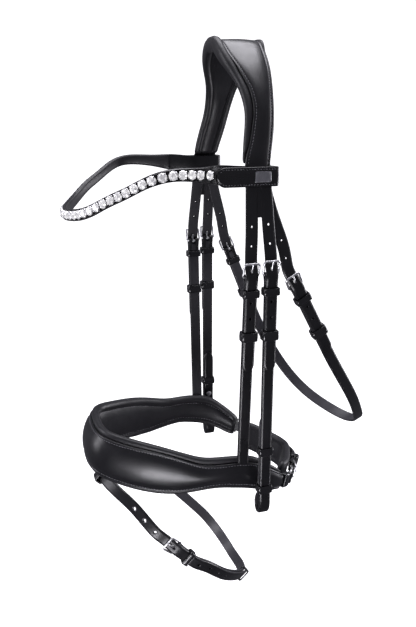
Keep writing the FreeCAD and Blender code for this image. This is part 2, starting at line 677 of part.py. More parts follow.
# ---------------------------------------------------------------- crank closure under the chin
# Plan points are in the noseband's own sloping frame, near side; CZ is the strap's height there.
CZ = -23.5
HEEL = (31.0, 87.6)
CUP = (0.890, -0.456)  # from the chin buckle's heel bar towards the near ring
COUT = (0.456, 0.890)


def nbp(x, y, z=CZ):
    return NB.multVec(Vector(x, y, z))


def nbd(x, y, z=0.0):
    return NB.Rotation.multVec(Vector(x, y, z))


ST["chin"] = station(
    nbp(HEEL[0] + CUP[0] * PIVOT_UP + COUT[0] * PIVOT_OUT, HEEL[1] + CUP[1] * PIVOT_UP + COUT[1] * PIVOT_OUT),
    nbd(*CUP), nbd(*COUT))
RING_OUT = (58.6, 72.0)   # ring bar in the noseband's end tab, near side
RING_IN = (48.4, 78.6)    # ring bar in the chin strap's end


def plan_band(pts, lo, hi, z0, z1):
    a, c = offset2(pts, lo), offset2(pts, hi)
    return prism([(x, y, z0) for x, y in a + c[::-1]], (0, 0, z1 - z0))


def loop_end(c, r_out, r_in):
    outer = Part.makeCylinder(r_out, W, Vector(c[0], c[1], CZ - W / 2), Vector(0, 0, 1))
    return outer, Part.makeCylinder(r_in, W + 2, Vector(c[0], c[1], CZ - W / 2 - 1), Vector(0, 0, 1))


WB = dim("heel_wire") + 0.25
tabs, ring_frames, ring_keepers = [], [], []
for s in (1, -1):
    # tab: sewn in behind the noseband's end, folded round the ring
    pts = [(s * 79.0, 37.0), (s * 75.6, 44.0), (s * 71.9, 50.5), (s * 68.2, 56.5), (s * 64.6, 63.0), (s * RING_OUT[0], RING_OUT[1])]
    pts = spline(pts, 20)
    t1 = plan_band(pts, -1.5, 1.5, CZ - W / 2, CZ + W / 2)
    o, i_ = loop_end((s * RING_OUT[0], RING_OUT[1]), WB + 1.7, WB)
    tabs.append(t1.fuse(o).cut(i_))
    # flat rectangular ring between the two bars
    dx, dy = s * (RING_IN[0] - RING_OUT[0]), RING_IN[1] - RING_OUT[1]
    l = math.hypot(dx, dy)
    rb = new_body(("near" if s > 0 else "far") + "_chin_ring_wire")
    w_ = dim("heel_wire")
    sk = sketch_on(rb, "XY_Plane", rb.Label + "_outline")
    rounded_box(sk, -w_, -8.5, l + w_, 8.5, 3.0)
    rounded_box(sk, w_, -6.5, l - w_, 6.5, 1.2)
    pd = pad(rb, sk, 2 * w_, rb.Label + "_pad")
    f = rb.newObject("PartDesign::Fillet", rb.Label + "_round")
    f.Base = (pd, ["Edge%d" % k for k, e in enumerate(rb.Shape.Edges, 1) if max(v.Z for v in e.Vertexes) - min(v.Z for v in e.Vertexes) < 1e-6])
    f.Radius = w_ - 0.12
    rb.Tip = f
    doc.recompute()
    ux = Vector(dx / l, dy / l, 0)
    uy = Vector(0, 0, 1)
    uz = ux.cross(uy)
    m = FreeCAD.Matrix(ux.x, uy.x, uz.x, s * RING_OUT[0], ux.y, uy.y, uz.y, RING_OUT[1], ux.z, uy.z, uz.z, CZ, 0, 0, 0, 1)
    rb.Placement = NB.multiply(Placement(m))
    ring_frames.append(rb)
group("chin_rings", ring_frames)
feature("chin_tabs", Part.makeCompound(tabs), NB)
for t_ in tabs:  # seats for the tabs between leather and padding
    nb_leather = nb_leather.cut(t_)
    nb_pad = nb_pad.cut(t_)
feature("noseband_leather", nb_leather.removeSplitter(), NB)
feature("noseband_pad", nb_pad, NB)

# box keeper on the near tab
kb = new_body("chin_tab_keeper")
sk = sketch_on(kb, "XY_Plane", "chin_tab_keeper_outline", -4.5)
rounded_box(sk, -2.05 - 1.6, -8.1, 2.15 + 1.6, 8.1, 1.4)
rounded_box(sk, -2.05, -6.4, 2.15, 6.4, 0.5)
pad(kb, sk, 9.0, "chin_tab_keeper_pad", both=False)
k0 = Vector(63.9, 63.9, CZ)
ku = Vector(RING_OUT[0] - 64.9, RING_OUT[1] - 62.3, 0).normalize()
ko = Vector(-ku.y, ku.x, 0) * -1
if ko.x < 0:
    ko = ko * -1
ky = ku.cross(ko)
kb.Placement = NB.multiply(Placement(FreeCAD.Matrix(ko.x, ky.x, ku.x, k0.x, ko.y, ky.y, ku.y, k0.y, ko.z, ky.z, ku.z, k0.z, 0, 0, 0, 1)))

# chin strap: chape at the buckle, straight under it, round the chin and folded over the far ring
t = dim("strap_thick") / 2
cp = [(HEEL[0] - CUP[0] * d, HEEL[1] - CUP[1] * d) for d in (1.2, 10, 20, 28)]
cp += [(-6.0, 100.9), (-16.0, 98.6), (-27.0, 93.4), (-38.0, 86.0), (-RING_IN[0], RING_IN[1])]
chin_line = spline(cp, 60)
strap = plan_band(chin_line, -t, t, CZ - W / 2, CZ + W / 2)
o, i_ = loop_end((-RING_IN[0], RING_IN[1]), WB + 1.7, WB)
strap = strap.fuse(o).cut(i_)
strap.Placement = NB
strap = strap.copy()
c = chape_local()
c.Placement = ST["chin"]
k = chape_cuts()
k.Placement = ST["chin"]
feature("chin_strap", strap.fuse(c).cut(k).removeSplitter())
keep(buckle_frame("chin_buckle", "chin"), "chin_buckle")
keep(buckle_tongue("chin_tongue", "chin"), "chin_tongue")
chin_fixed = keeper("chin_fixed_keeper", "chin", -19.0, "fixed_keeper_height", inner=(-2.0, 4.9))
# chin billet: folded over the near ring, through the buckle, tail over the strap
lx = (RING_IN[0] - HEEL[0]) * CUP[0] + (RING_IN[1] - HEEL[1]) * CUP[1]
ln = (RING_IN[0] - HEEL[0]) * COUT[0] + (RING_IN[1] - HEEL[1]) * COUT[1]
bl = spline([(ln, lx), (ln + 0.7, lx - 2.6), (1.5, 12.5)] + TAIL_PATH[1:], 40) + [(3.4, -24.0)]
a, c = offset2(bl, 1.1), offset2(bl, -1.1)
bil = prism([(x, -W / 2, z) for x, z in a + c[::-1]], (0, W, 0))
ro = Part.makeCylinder(WB + 1.5, W, Vector(ln, -W / 2, lx), Vector(0, 1, 0))
ri = Part.makeCylinder(WB, W + 2, Vector(ln, -W / 2 - 1, lx), Vector(0, 1, 0))
hole = prism([(x, -1.15, z) for x, z in prong_poly(-1.0, 2.1, 3.0)], (0, 2.3, 0))
bil = bil.fuse(ro).cut(ri).cut(hole)
for v in (-20.5,):
    bil = bil.cut(Part.makeCylinder(dim("hole_radius"), 12, Vector(-2, 0, v), Vector(1, 0, 0)))
feature("chin_billet", bil.removeSplitter(), ST["chin"])
# chin pad: lies inside the strap
inner_line = [p for p in offset2(spline([(46.5, 80.0)] + cp[1:-1] + [(-46.5, 80.0)], 60), 0)]
pad_line = spline([(56.0, 62.6), (51.0, 68.8), (43.5, 75.4), (34, 81.2), (22, 86.6), (10, 92.0), (0, 94.6), (-10, 93.4), (-22, 88.2), (-34, 80.6), (-43.5, 73.6), (-51.0, 67.4), (-56.0, 61.8)], 64)
chin_pad = plan_band(pad_line, -dim("chin_pad_thick"), 0.0, -42.0, -9.0)
mid_a = offset2(pad_line, -4.0)[32]
if mid_a[1] > pad_line[32][1]:
    chin_pad = plan_band(pad_line, 0.0, dim("chin_pad_thick"), -42.0, -9.0)
feature("chin_pad", chin_pad, NB)
# stitched loops that hold the strap on the pad
loops = []
for x_c in (-22.0,):
    j = min(range(len(chin_line)), key=lambda q: abs(chin_line[q][0] - x_c))
    tx, ty = chin_line[j + 1][0] - chin_line[j - 1][0], chin_line[j + 1][1] - chin_line[j - 1][1]
    l = math.hypot(tx, ty)
    ux = Vector(tx / l, ty / l, 0)
    un = Vector(0, 0, 1).cross(ux)
    if un.y < 0:
        un = un * -1
    o_ = Vector(chin_line[j][0], chin_line[j][1], CZ)
    lb = new_body("chin_pad_loop")
    sk = sketch_on(lb, "XY_Plane", "chin_pad_loop_outline", -4.0)
    rounded_box(sk, -3.3, -8.1, 3.6, 8.1, 1.2)
    rounded_box(sk, -1.85, -6.5, 1.9, 6.5, 0.5)
    pad(lb, sk, 8.0, "chin_pad_loop_pad", both=False)
    uy = ux.cross(un)
    lb.Placement = NB.multiply(Placement(FreeCAD.Matrix(un.x, uy.x, ux.x, o_.x, un.y, uy.y, ux.y, o_.y, un.z, uy.z, ux.z, o_.z, 0, 0, 0, 1)))
    group("chin_keepers", [kb, chin_fixed, lb])

# ---------------------------------------------------------------- throatlash
near_line = [at("near_throat", 0, 0, v) for v in (-1.2, -20, -40, -60, -76, -90)]
far_line = [at("far_throat", 0, 0, v) for v in (-90, -76, -60, -40, -20, -1.2)]
THROAT_MID = [(66, 99, -323), (47, 124, -357), (28, 142, -383), (14, 152, -398), (2, 156, -406), (-10, 155.5, -410.5), (-24, 150, -411), (-42, 138, -405.5), (-60, 121, -393), (-76, 101, -370), (-87, 80, -336)]
tp = [tuple(p) for p in near_line] + THROAT_MID + [tuple(p) for p in far_line]
throat_path = spline(tp, 110)
wn = axis_of("near_throat", (0, 1, 0))
wf = axis_of("far_throat", (0, 1, 0)) * -1
wm = Vector(0.1, 0.86, 0.51)
ws = []
for i in range(len(throat_path)):
    f = i / (len(throat_path) - 1)
    if f < 0.5:
        g = max(0.0, (f - 0.17) / 0.33)
        ws.append(wn * (1 - g) + wm * g)
    else:
        g = min(1.0, (f - 0.5) / 0.33)
        ws.append(wm * (1 - g) + wf * g)
t = dim("strap_thick") / 2
throat = band(throat_path, ws, W / 2, -t, t)
for st in ("near_throat", "far_throat"):
    c = chape_local()
    c.Placement = ST[st]
    k = chape_cuts()
    k.Placement = ST[st]
    throat = throat.fuse(c).cut(k)
feature("throat_strap", throat.removeSplitter())
group("throat_buckles", [buckle_frame("near_throat_buckle", "near_throat"), buckle_frame("far_throat_buckle", "far_throat")])
group("throat_tails", [billet_tail("near_throat_tail", "near_throat"), billet_tail("far_throat_tail", "far_throat")])
group("throat_fixed_keepers", [keeper("near_throat_fixed_keeper", "near_throat", -18.5, "fixed_keeper_height"), keeper("far_throat_fixed_keeper", "far_throat", -18.5, "fixed_keeper_height")])
for side in ("near", "far"):
    st = side + "_throat"
    keep(buckle_tongue(st + "_tongue", st), st + "_tongue")
    keep(keeper(st + "_runner", st, -62.0, "runner_height"), st + "_runner")

# ---------------------------------------------------------------- flash strap
# one strip: tail tip, over the heel bar, under the front bar, round the front, the far side and the bottom, back to the chape
FL_LOW = [tuple(at("flash", 0, 0, v)) for v in (-1.2, -12, -24)]
FLASH = FL_LOW + [(75.5, -57, -512.5), (66, -34, -534.8), (48, -11, -555.3), (26, 3.5, -571), (0, 11.5, -584), (-22, 15.5, -593.5), (-44, 15.5, -596.5), (-62, 11.5, -590.5), (-74, 3, -577.5), (-79.5, -10, -559), (-79.5, -27, -538.5), (-74, -53, -507.5), (-65, -85, -478), (-52, -113, -456), (-36, -134.5, -441.5), (-18, -146.5, -432.5), (0, -150, -430), (18, -146.5, -431.5), (36, -136.5, -437.5), (52, -123, -449)]
FL_HIGH = [tuple(at("flash", n, 0, v)) for n, v in ((0.1, 27), (0.4, 18), (1.5, 11), (3.2, 5.5), (4.6, 1.2), (4.75, -1.2), (4.2, -5.5), (3.7, -11))]
base = spline(FLASH[::-1], 150)[::-1]  # from the chape down and round to the front


def width_at(p):
    u_b = axis_of("flash", (0, 1, 0))
    f = min(1.0, max(0.0, (p[0] - 40) / 30.0))
    g = Vector(0, 0.714, 0.70)
    return g * (1 - f) + u_b * f


tn = len(base)
# tail: follows the lower run on its outer side
tail_pts = []
L = 0.0
i = 0
while L < 137.0:
    i += 1
    L += math.dist(base[i], base[i - 1])
    if L > 14.0:
        tvec = (vec(base[i + 1]) - vec(base[i - 1])).normalize()
        w = width_at(base[i])
        w = (w - tvec * w.dot(tvec)).normalize()
        out = tvec.cross(w)
        if out.dot(Vector(1, 0, 0) if base[i][0] > 30 else Vector(0.5, 0.5, -0.7)) < 0:
            out = out * -1
        tail_pts.append(tuple(vec(base[i]) + out * 3.55))
tail_pts = tail_pts[::-1]
upper = FL_HIGH[::-1] + FLASH[::-1][:1]
strip = tail_pts[::3] + FL_HIGH[::-1] + [p for p in FLASH[::-1][1:]]
# order: tail tip, buckle, front, far side, bottom, chape
strip = tail_pts[::3] + FL_HIGH[::-1] + [FLASH[-1]] + FLASH[::-1][1:]
flash_path = spline(strip, 240)
fw = [width_at(p) for p in flash_path]
ft = dim("flash_thick") / 2
flash = band(flash_path, fw, W / 2, -ft, ft)
c = chape_local()
c.Placement = ST["flash"]
k = chape_cuts()
k.Placement = ST["flash"]
flash = flash.fuse(c).cut(k)
hole = prism([(x, -1.15, z) for x, z in prong_poly(-1.0, 2.1, 0.6)], (0, 2.3, 0))
hole.Placement = ST["flash"]
flash = flash.cut(hole)
upax = axis_of("flash", (1, 0, 0))
for v in (31, 47, 63):
    d = 0.0
    for j in range(len(flash_path) - 1):
        if vec(flash_path[j]).distanceToPoint(at("flash", 1.5, 0, 11)) < 2.5:
            break
    run = 0.0
    while run < v - 11:
        run += math.dist(flash_path[j], flash_path[j + 1])
        j += 1
    p = vec(flash_path[j])
    tv = (vec(flash_path[j + 1]) - vec(flash_path[j - 1])).normalize()
    w = fw[j]
    w = (w - tv * w.dot(tv)).normalize()
    nrm = tv.cross(w)
    flash = flash.cut(Part.makeCylinder(1.6, 12, p - nrm * 6, nrm))
feature("flash_strap", flash.removeSplitter())
keep(buckle_frame("flash_buckle", "flash"), "flash_buckle")
keep(buckle_tongue("flash_tongue", "flash"), "flash_tongue")
ek = min(range(len(base)), key=lambda q: abs(sum(math.dist(base[r], base[r + 1]) for r in range(q)) - 128.0))
e_up = (vec(base[ek - 1]) - vec(base[ek + 1])).normalize()
e_w = width_at(base[ek])
e_w = (e_w - e_up * e_w.dot(e_up)).normalize()
e_out = e_up.cross(e_w)
if e_out.dot(Vector(0.5, 0.5, -0.7)) < 0:
    e_out = e_out * -1
e_y = e_up.cross(e_out)
e_p = vec(base[ek])
ST["flash_end"] = Placement(FreeCAD.Matrix(e_out.x, e_y.x, e_up.x, e_p.x, e_out.y, e_y.y, e_up.y, e_p.y, e_out.z, e_y.z, e_up.z, e_p.z, 0, 0, 0, 1))
keep(keeper("flash_end_keeper", "flash_end", -4.0, "end_keeper_height", inner=(-2.1, 5.7)), "flash_end_keeper")
keep(keeper("flash_fixed_keeper", "flash", -19.5, "fixed_keeper_height", inner=(-1.4, 5.4)), "flash_fixed_keeper")

# ---------------------------------------------------------------- browband
BROW = [(88.6, 8.2), (84.5, 8.55), (79.6, 8.2), (76.6, 6.6), (75.6, 3.0), (75.6, -8), (75.7, -20), (77.2, -30.5), (80.6, -40.5), (84.9, -49), (90.0, -58), (95.6, -72), (99.4, -88), (99.6, -102), (91.3, -117), (78.5, -133), (63.8, -147.8), (45.0, -160.3), (23.0, -169.0), (0, -172.8)]
brow = spline(BROW + [(-x, y) for x, y in BROW[::-1][1:]], 220)
MID = [(-181, -146.6), (-176, -145.8), (-166, -142.7), (-155, -136.3), (-143, -127.5), (-128, -118.6), (-111, -108.4), (-94, -103.4), (-72, -103.6), (-48, -105.5), (-20, -107.2), (13, -107.5)]
HALF = [(-181, 5.75), (-75, 5.9), (-60, 7.0), (-46, 8.75), (13, 8.75)]
bt = dim("browband_thick")
area_sign = 1.0
o1, o2 = offset2(brow, bt / 2), offset2(brow, -bt / 2)


def brow_side(grow=0.0, n=60):
    ys = [-181 + (195.0) * i / n for i in range(n + 1)]
    a = [(-120, y, lerp(MID, y) + lerp(HALF, y) + grow) for y in ys]
    b = [(-120, y, lerp(MID, y) - lerp(HALF, y) - grow) for y in ys]
    return prism(a + b[::-1], (240, 0, 0))


slab = prism([(x, y, -180) for x, y in o1 + o2[::-1]], (0, 0, 110))
feature("browband_leather", slab.common(brow_side()).removeSplitter())
# soft lining on the inner face, in front of the headpiece
front = [p for p in brow if p[1] < -47]
def towards_inside(pts, d):
    a = offset2(pts, d)
    m = len(pts) // 2
    return a if abs(a[m][1]) < abs(pts[m][1]) else offset2(pts, -d)
l0, l1 = towards_inside(front, bt / 2), towards_inside(front, bt / 2 + dim("lining_thick"))
slab = prism([(x, y, -180) for x, y in l0 + l1[::-1]], (0, 0, 110))
feature("browband_lining", slab.common(brow_side(-0.4)))

# crystals in round settings along the outer face
track = [(x, y, lerp(MID, y)) for x, y in brow]
mid_i = len(track) // 2
arc_len = [0.0]
for i in range(1, len(track)):
    arc_len.append(arc_len[-1] + math.dist(track[i], track[i - 1]))


def track_at(s):
    s += arc_len[mid_i]
    for i in range(1, len(track)):
        if arc_len[i] >= s:
            f = (s - arc_len[i - 1]) / (arc_len[i] - arc_len[i - 1])
            p = vec(track[i - 1]) * (1 - f) + vec(track[i]) * f
            t_ = (vec(track[i]) - vec(track[i - 1])).normalize()
            out = Vector(-t_.y, t_.x, 0).normalize()
            if out.dot(Vector(p.x, p.y + 60, 0)) < 0:
                out = out * -1
            return p, t_, out
    raise RuntimeError("track too short")


settings, stones = [], []
pitch = dim("crystal_pitch")
for k_ in range(-21, 22):
    s_ = k_ * pitch
    if abs(k_) == 21:
        s_ += math.copysign(1.6, k_)
    p, t_, out = track_at(s_)
    z_ = out.cross(t_).normalize()
    base_p = p + out * (bt / 2)
    settings.append(Part.makeCylinder(dim("setting_radius"), dim("setting_height"), base_p, out))
    top_p = base_p + out * dim("setting_height")
    cone = Part.makeCone(dim("crystal_radius"), dim("crystal_radius") * 0.6, dim("crystal_height") - 0.6, top_p + out * 0.6, out)
    girdle = Part.makeCylinder(dim("crystal_radius"), 0.6, top_p, out)
    stones.append(cone.fuse(girdle).removeSplitter())
feature("crystal_settings", Part.makeCompound([c.cut(NODES["browband_leather"].Shape) for c in settings]))
feature("browband_crystals", Part.makeCompound(stones))

# fold-over tabs: flat leather with a round front end, turning about a vertical axis at the rear fold
TAB_X, TAB_Y, TAB_Z = 89.0, 7.4, -107.5
for s, side in ((1, "near"), (-1, "far")):
    b = new_body(side + "_tab")
    sk = sketch_on(b, "YZ_Plane", side + "_tab_side")
    h = dim("tab_height") / 2
    Lt = dim("tab_length")
    P = lambda y, z: Vector(y, z, 0)
    sk.addGeometry(Part.LineSegment(P(-0.9, -h), P(-Lt + h - 1.5, -h)), False)
    sk.addGeometry(Part.Arc(P(-Lt + h - 1.5, -h), P(-Lt, 0), P(-Lt + h - 1.5, h)), False)
    sk.addGeometry(Part.LineSegment(P(-Lt + h - 1.5, h), P(-0.9, h)), False)
    sk.addGeometry(Part.LineSegment(P(-0.9, h), P(-0.9, -h)), False)
    pad(b, sk, "tab_thick", side + "_tab_pad")
    b.Placement = Placement(Vector(s * TAB_X, TAB_Y, TAB_Z), Rotation())
    keep(b, side + "_tab")
    sock = doc.addObject("Part::Cut", side + "_snap_socket")
    disc = doc.addObject("Part::Cylinder", side + "_socket_disc")
    disc.Radius, disc.Height = 4.2, 1.6
    bore = doc.addObject("Part::Cylinder", side + "_socket_bore")
    bore.Radius, bore.Height = 2.6, 3.0
    disc.Placement = Placement(Vector(0, 0, 0), Rotation(Vector(0, 1, 0), 90))
    bore.Placement = Placement(Vector(-1.0 if s > 0 else -0.7, 0, 0), Rotation(Vector(0, 1, 0), 90))
    sock.Base, sock.Tool = disc, bore
    doc.recompute()
    x_in = TAB_X - dim("tab_thick") / 2
    sock.Placement = Placement(Vector(s * x_in - (1.6 if s > 0 else 0.0), -37.0, -106.4), Rotation())
    keep(sock, side + "_snap_socket")

plate = new_body("tab_plate")
sk = sketch_on(plate, "YZ_Plane", "tab_plate_outline")
rounded_box(sk, -7.5, -4.8, 7.5, 4.8, 0.8)
pad(plate, sk, 0.9, "tab_plate_pad", both=False)
plate.Placement = Placement(Vector(TAB_X + dim("tab_thick") / 2, -6.2, -107.5), Rotation())
keep(plate, "tab_plate")

posts = []
for s in (1, -1):
    c = doc.addObject("Part::Cylinder", "near_snap_post" if s > 0 else "far_snap_post")
    c.Radius, c.Height = 2.1, 6.2
    c.Placement = Placement(Vector(81.4 if s > 0 else -87.6, -37.0, -106.4), Rotation(Vector(0, 1, 0), 90))
    posts.append(c)
doc.recompute()
feature("snap_posts", Part.makeCompound([c.Shape.cut(NODES["browband_leather"].Shape) for c in posts]))

# ---------------------------------------------------------------- check and write
doc.recompute()
for o in doc.Objects:
    if any(x in ("Invalid", "Error") for x in o.State):
        raise RuntimeError("object %s is %s" % (o.Label, o.State))
os.makedirs("parts", exist_ok=True)
for name, o in NODES.items():
    shp = o.Shape
    if shp.isNull() or not shp.isValid():
        raise RuntimeError("shape of %s is not valid" % name)
    if not shp.Solids:
        raise RuntimeError("%s has no solid" % name)
for name, o in NODES.items():
    o.Shape.exportStep("parts/%s.step" % name)
    bb = o.Shape.BoundBox
    print("%-24s solids %3d vol %9.1f  x %.1f..%.1f y %.1f..%.1f z %.1f..%.1f" % (name, len(o.Shape.Solids), o.Shape.Volume, bb.XMin, bb.XMax, bb.YMin, bb.YMax, bb.ZMin, bb.ZMax))
for k_, p_ in ST.items():
    print("station", k_, [round(c, 5) for c in p_.Base], "up", [round(c, 5) for c in p_.Rotation.multVec(Vector(0, 0, 1))], "across", [round(c, 5) for c in p_.Rotation.multVec(Vector(0, 1, 0))])
print("nodes", len(NODES))
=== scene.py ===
import bpy
import math
from mathutils import Vector, Matrix, noise


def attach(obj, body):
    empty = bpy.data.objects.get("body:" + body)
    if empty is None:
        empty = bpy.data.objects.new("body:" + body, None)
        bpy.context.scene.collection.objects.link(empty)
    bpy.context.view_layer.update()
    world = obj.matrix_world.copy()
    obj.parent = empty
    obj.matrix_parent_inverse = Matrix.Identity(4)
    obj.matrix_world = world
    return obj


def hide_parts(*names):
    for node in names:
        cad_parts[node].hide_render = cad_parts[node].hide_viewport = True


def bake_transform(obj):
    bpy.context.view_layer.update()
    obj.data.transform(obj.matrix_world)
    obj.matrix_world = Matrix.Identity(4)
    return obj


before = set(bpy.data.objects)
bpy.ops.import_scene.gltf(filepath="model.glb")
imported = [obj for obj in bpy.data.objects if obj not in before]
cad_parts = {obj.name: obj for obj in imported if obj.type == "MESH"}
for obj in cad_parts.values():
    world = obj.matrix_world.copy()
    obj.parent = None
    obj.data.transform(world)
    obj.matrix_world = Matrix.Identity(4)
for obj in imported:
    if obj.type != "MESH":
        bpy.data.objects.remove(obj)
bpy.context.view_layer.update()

MM = 0.001


# ------------------------------------------------------------------ curves (millimetres)
def spline(pts, n=60, closed=False):
    P = [tuple(map(float, p)) for p in pts]
    if closed:
        P = P[-3:] + P + P[:4]
    m, d = len(P), len(P[0])
    T = [0.0]
    for i in range(1, m):
        T.append(T[-1] + max(1e-9, math.dist(P[i], P[i - 1]) ** 0.75))
    M = []
    for k in range(d):
        a, b, c, r = [0.0] * m, [1.0] * m, [0.0] * m, [0.0] * m
        for i in range(1, m - 1):
            h0, h1 = T[i] - T[i - 1], T[i + 1] - T[i]
            a[i], b[i], c[i] = h0, 2 * (h0 + h1), h1
            r[i] = 6 * ((P[i + 1][k] - P[i][k]) / h1 - (P[i][k] - P[i - 1][k]) / h0)
        for i in range(1, m):
            w = a[i] / b[i - 1]
            b[i] -= w * c[i - 1]
            r[i] -= w * r[i - 1]
        x = [0.0] * m
        x[m - 1] = r[m - 1] / b[m - 1]
        for i in range(m - 2, -1, -1):
            x[i] = (r[i] - c[i] * x[i + 1]) / b[i]
        M.append(x)

    def ev(t):
        i = 0
        while i < m - 2 and t > T[i + 1]:
            i += 1
        h = T[i + 1] - T[i]
        A, B = (T[i + 1] - t) / h, (t - T[i]) / h
        return tuple(
            A * P[i][k] + B * P[i + 1][k] + ((A ** 3 - A) * M[k][i] + (B ** 3 - B) * M[k][i + 1]) * h * h / 6
            for k in range(d)
        )

    t0, t1 = (T[3], T[m - 4]) if closed else (T[0], T[-1])
    dense = [ev(t0 + (t1 - t0) * i / (n * 8)) for i in range(n * 8 + 1)]
    return resample(dense, n)


def resample(dense, n):
    L = [0.0]
    for i in range(1, len(dense)):
        L.append(L[-1] + math.dist(dense[i], dense[i - 1]))
    out, j = [], 0
    for i in range(n + 1):
        s = L[-1] * i / n
        while j < len(L) - 2 and L[j + 1] < s:
            j += 1
        f = (s - L[j]) / max(1e-12, L[j + 1] - L[j])
        out.append(tuple(dense[j][k] + (dense[j + 1][k] - dense[j][k]) * f for k in range(len(dense[0]))))
    return out


def lerp(table, x):
    if x <= table[0][0]:
        return table[0][1]
    for (a, b), (c, d) in zip(table, table[1:]):
        if x <= c:
            return b + (d - b) * (x - a) / (c - a)
    return table[-1][1]


def smooth_table(table, n=80):
    """The same table with its corners rounded."""
    return sorted(spline(table, n))


def smoothstep(a, b, x):
    t = min(1.0, max(0.0, (x - a) / (b - a)))
    return t * t * (3 - 2 * t)


def offset2(pts, dist):
    n, out = len(pts), []
    for i in range(n):
        a, b = pts[max(0, i - 1)], pts[min(n - 1, i + 1)]
        tx, ty = b[0] - a[0], b[1] - a[1]
        l = math.hypot(tx, ty)
        d = dist(i) if callable(dist) else dist
        out.append((pts[i][0] - ty / l * d, pts[i][1] + tx / l * d))
    return out


class Path:
    """A centre line with an outward direction, by arc length."""

    def __init__(self, pts, outs):
        self.p = [Vector(q) for q in pts]
        n = len(self.p)
        self.t = []
        for i in range(n):
            self.t.append((self.p[min(n - 1, i + 1)] - self.p[max(0, i - 1)]).normalized())
        self.o = []
        for i in range(n):
            o = Vector(outs[i] if isinstance(outs, list) else outs(self.p[i], self.t[i], i))
            self.o.append((o - self.t[i] * o.dot(self.t[i])).normalized())
        self.s = [0.0]
        for i in range(1, n):
            self.s.append(self.s[-1] + (self.p[i] - self.p[i - 1]).length)
        self.length = self.s[-1]

    def at(self, s):
        s = min(self.length, max(0.0, s))
        lo, hi = 0, len(self.s) - 1
        while hi - lo > 1:
            m = (lo + hi) // 2
            if self.s[m] <= s:
                lo = m
            else:
                hi = m
        f = (s - self.s[lo]) / max(1e-9, self.s[hi] - self.s[lo])
        p = self.p[lo].lerp(self.p[hi], f)
        t = self.t[lo].lerp(self.t[hi], f).normalized()
        o = self.o[lo].lerp(self.o[hi], f)
        o = (o - t * o.dot(t)).normalized()
        return p, t, o

    def near(self, q):
        q = Vector(q)
        i = min(range(len(self.p)), key=lambda k: (self.p[k] - q).length)
        return self.s[i]


# ------------------------------------------------------------------ meshes
def make(name, verts, faces, mats, midx=None, smooth=True, angle=48.0):
    me = bpy.data.meshes.new(name)
    me.from_pydata([tuple(c * MM for c in v) for v in verts], [], faces)
    for m in mats:
        me.materials.append(m)
    if midx:
        me.polygons.foreach_set("material_index", midx)
    me.validate()
    if smooth:
        me.shade_smooth()
        me.set_sharp_from_angle(angle=math.radians(angle))
    ob = bpy.data.objects.new(name, me)
    bpy.context.scene.collection.objects.link(ob)
    return ob


class Soup:
    """Collects closed shells into one mesh."""

    def __init__(self):
        self.v, self.f, self.m = [], [], []

    def add(self, verts, faces, mi=0):
        k = len(self.v)
        self.v += [tuple(v) for v in verts]
        self.f += [tuple(i + k for i in f) for f in faces]
        self.m += mi if isinstance(mi, list) else [mi] * len(faces)
        return self

    def obj(self, name, mats, **kw):
        return make(name, self.v, self.f, mats, self.m, **kw)


def tube_rows(rows, closed_rows=False, caps=True, flip=False):
    """Skin through rows of equal point count, each row a closed loop."""
    n = len(rows[0])
    verts = [p for r in rows for p in r]
    faces = []
    R = len(rows)
    for r in range(R if closed_rows else R - 1):
        a, b = r * n, ((r + 1) % R) * n
        for i in range(n):
            j = (i + 1) % n
            q = (a + i, a + j, b + j, b + i)
            faces.append(q[::-1] if flip else q)
    if caps and not closed_rows:
        first = tuple(range(n))
        last = tuple(range((R - 1) * n, R * n))
        faces.append(first[::-1] if not flip else first)
        faces.append(last if not flip else last[::-1])
    return verts, faces


def fix_normals(ob):
    import bmesh
    bm = bmesh.new()
    bm.from_mesh(ob.data)
    bmesh.ops.recalc_face_normals(bm, faces=bm.faces)
    bm.to_mesh(ob.data)
    bm.free()
    return ob


# strap section: columns across, height as a share of half the thickness, and the crease near the edge
COLS = [-6.0, -5.8, -5.35, -4.95, -4.7, -4.42, -3.4, -1.9, -0.95, 0.0, 0.95, 1.9, 3.4, 4.42, 4.7, 4.95, 5.35, 5.8, 6.0]


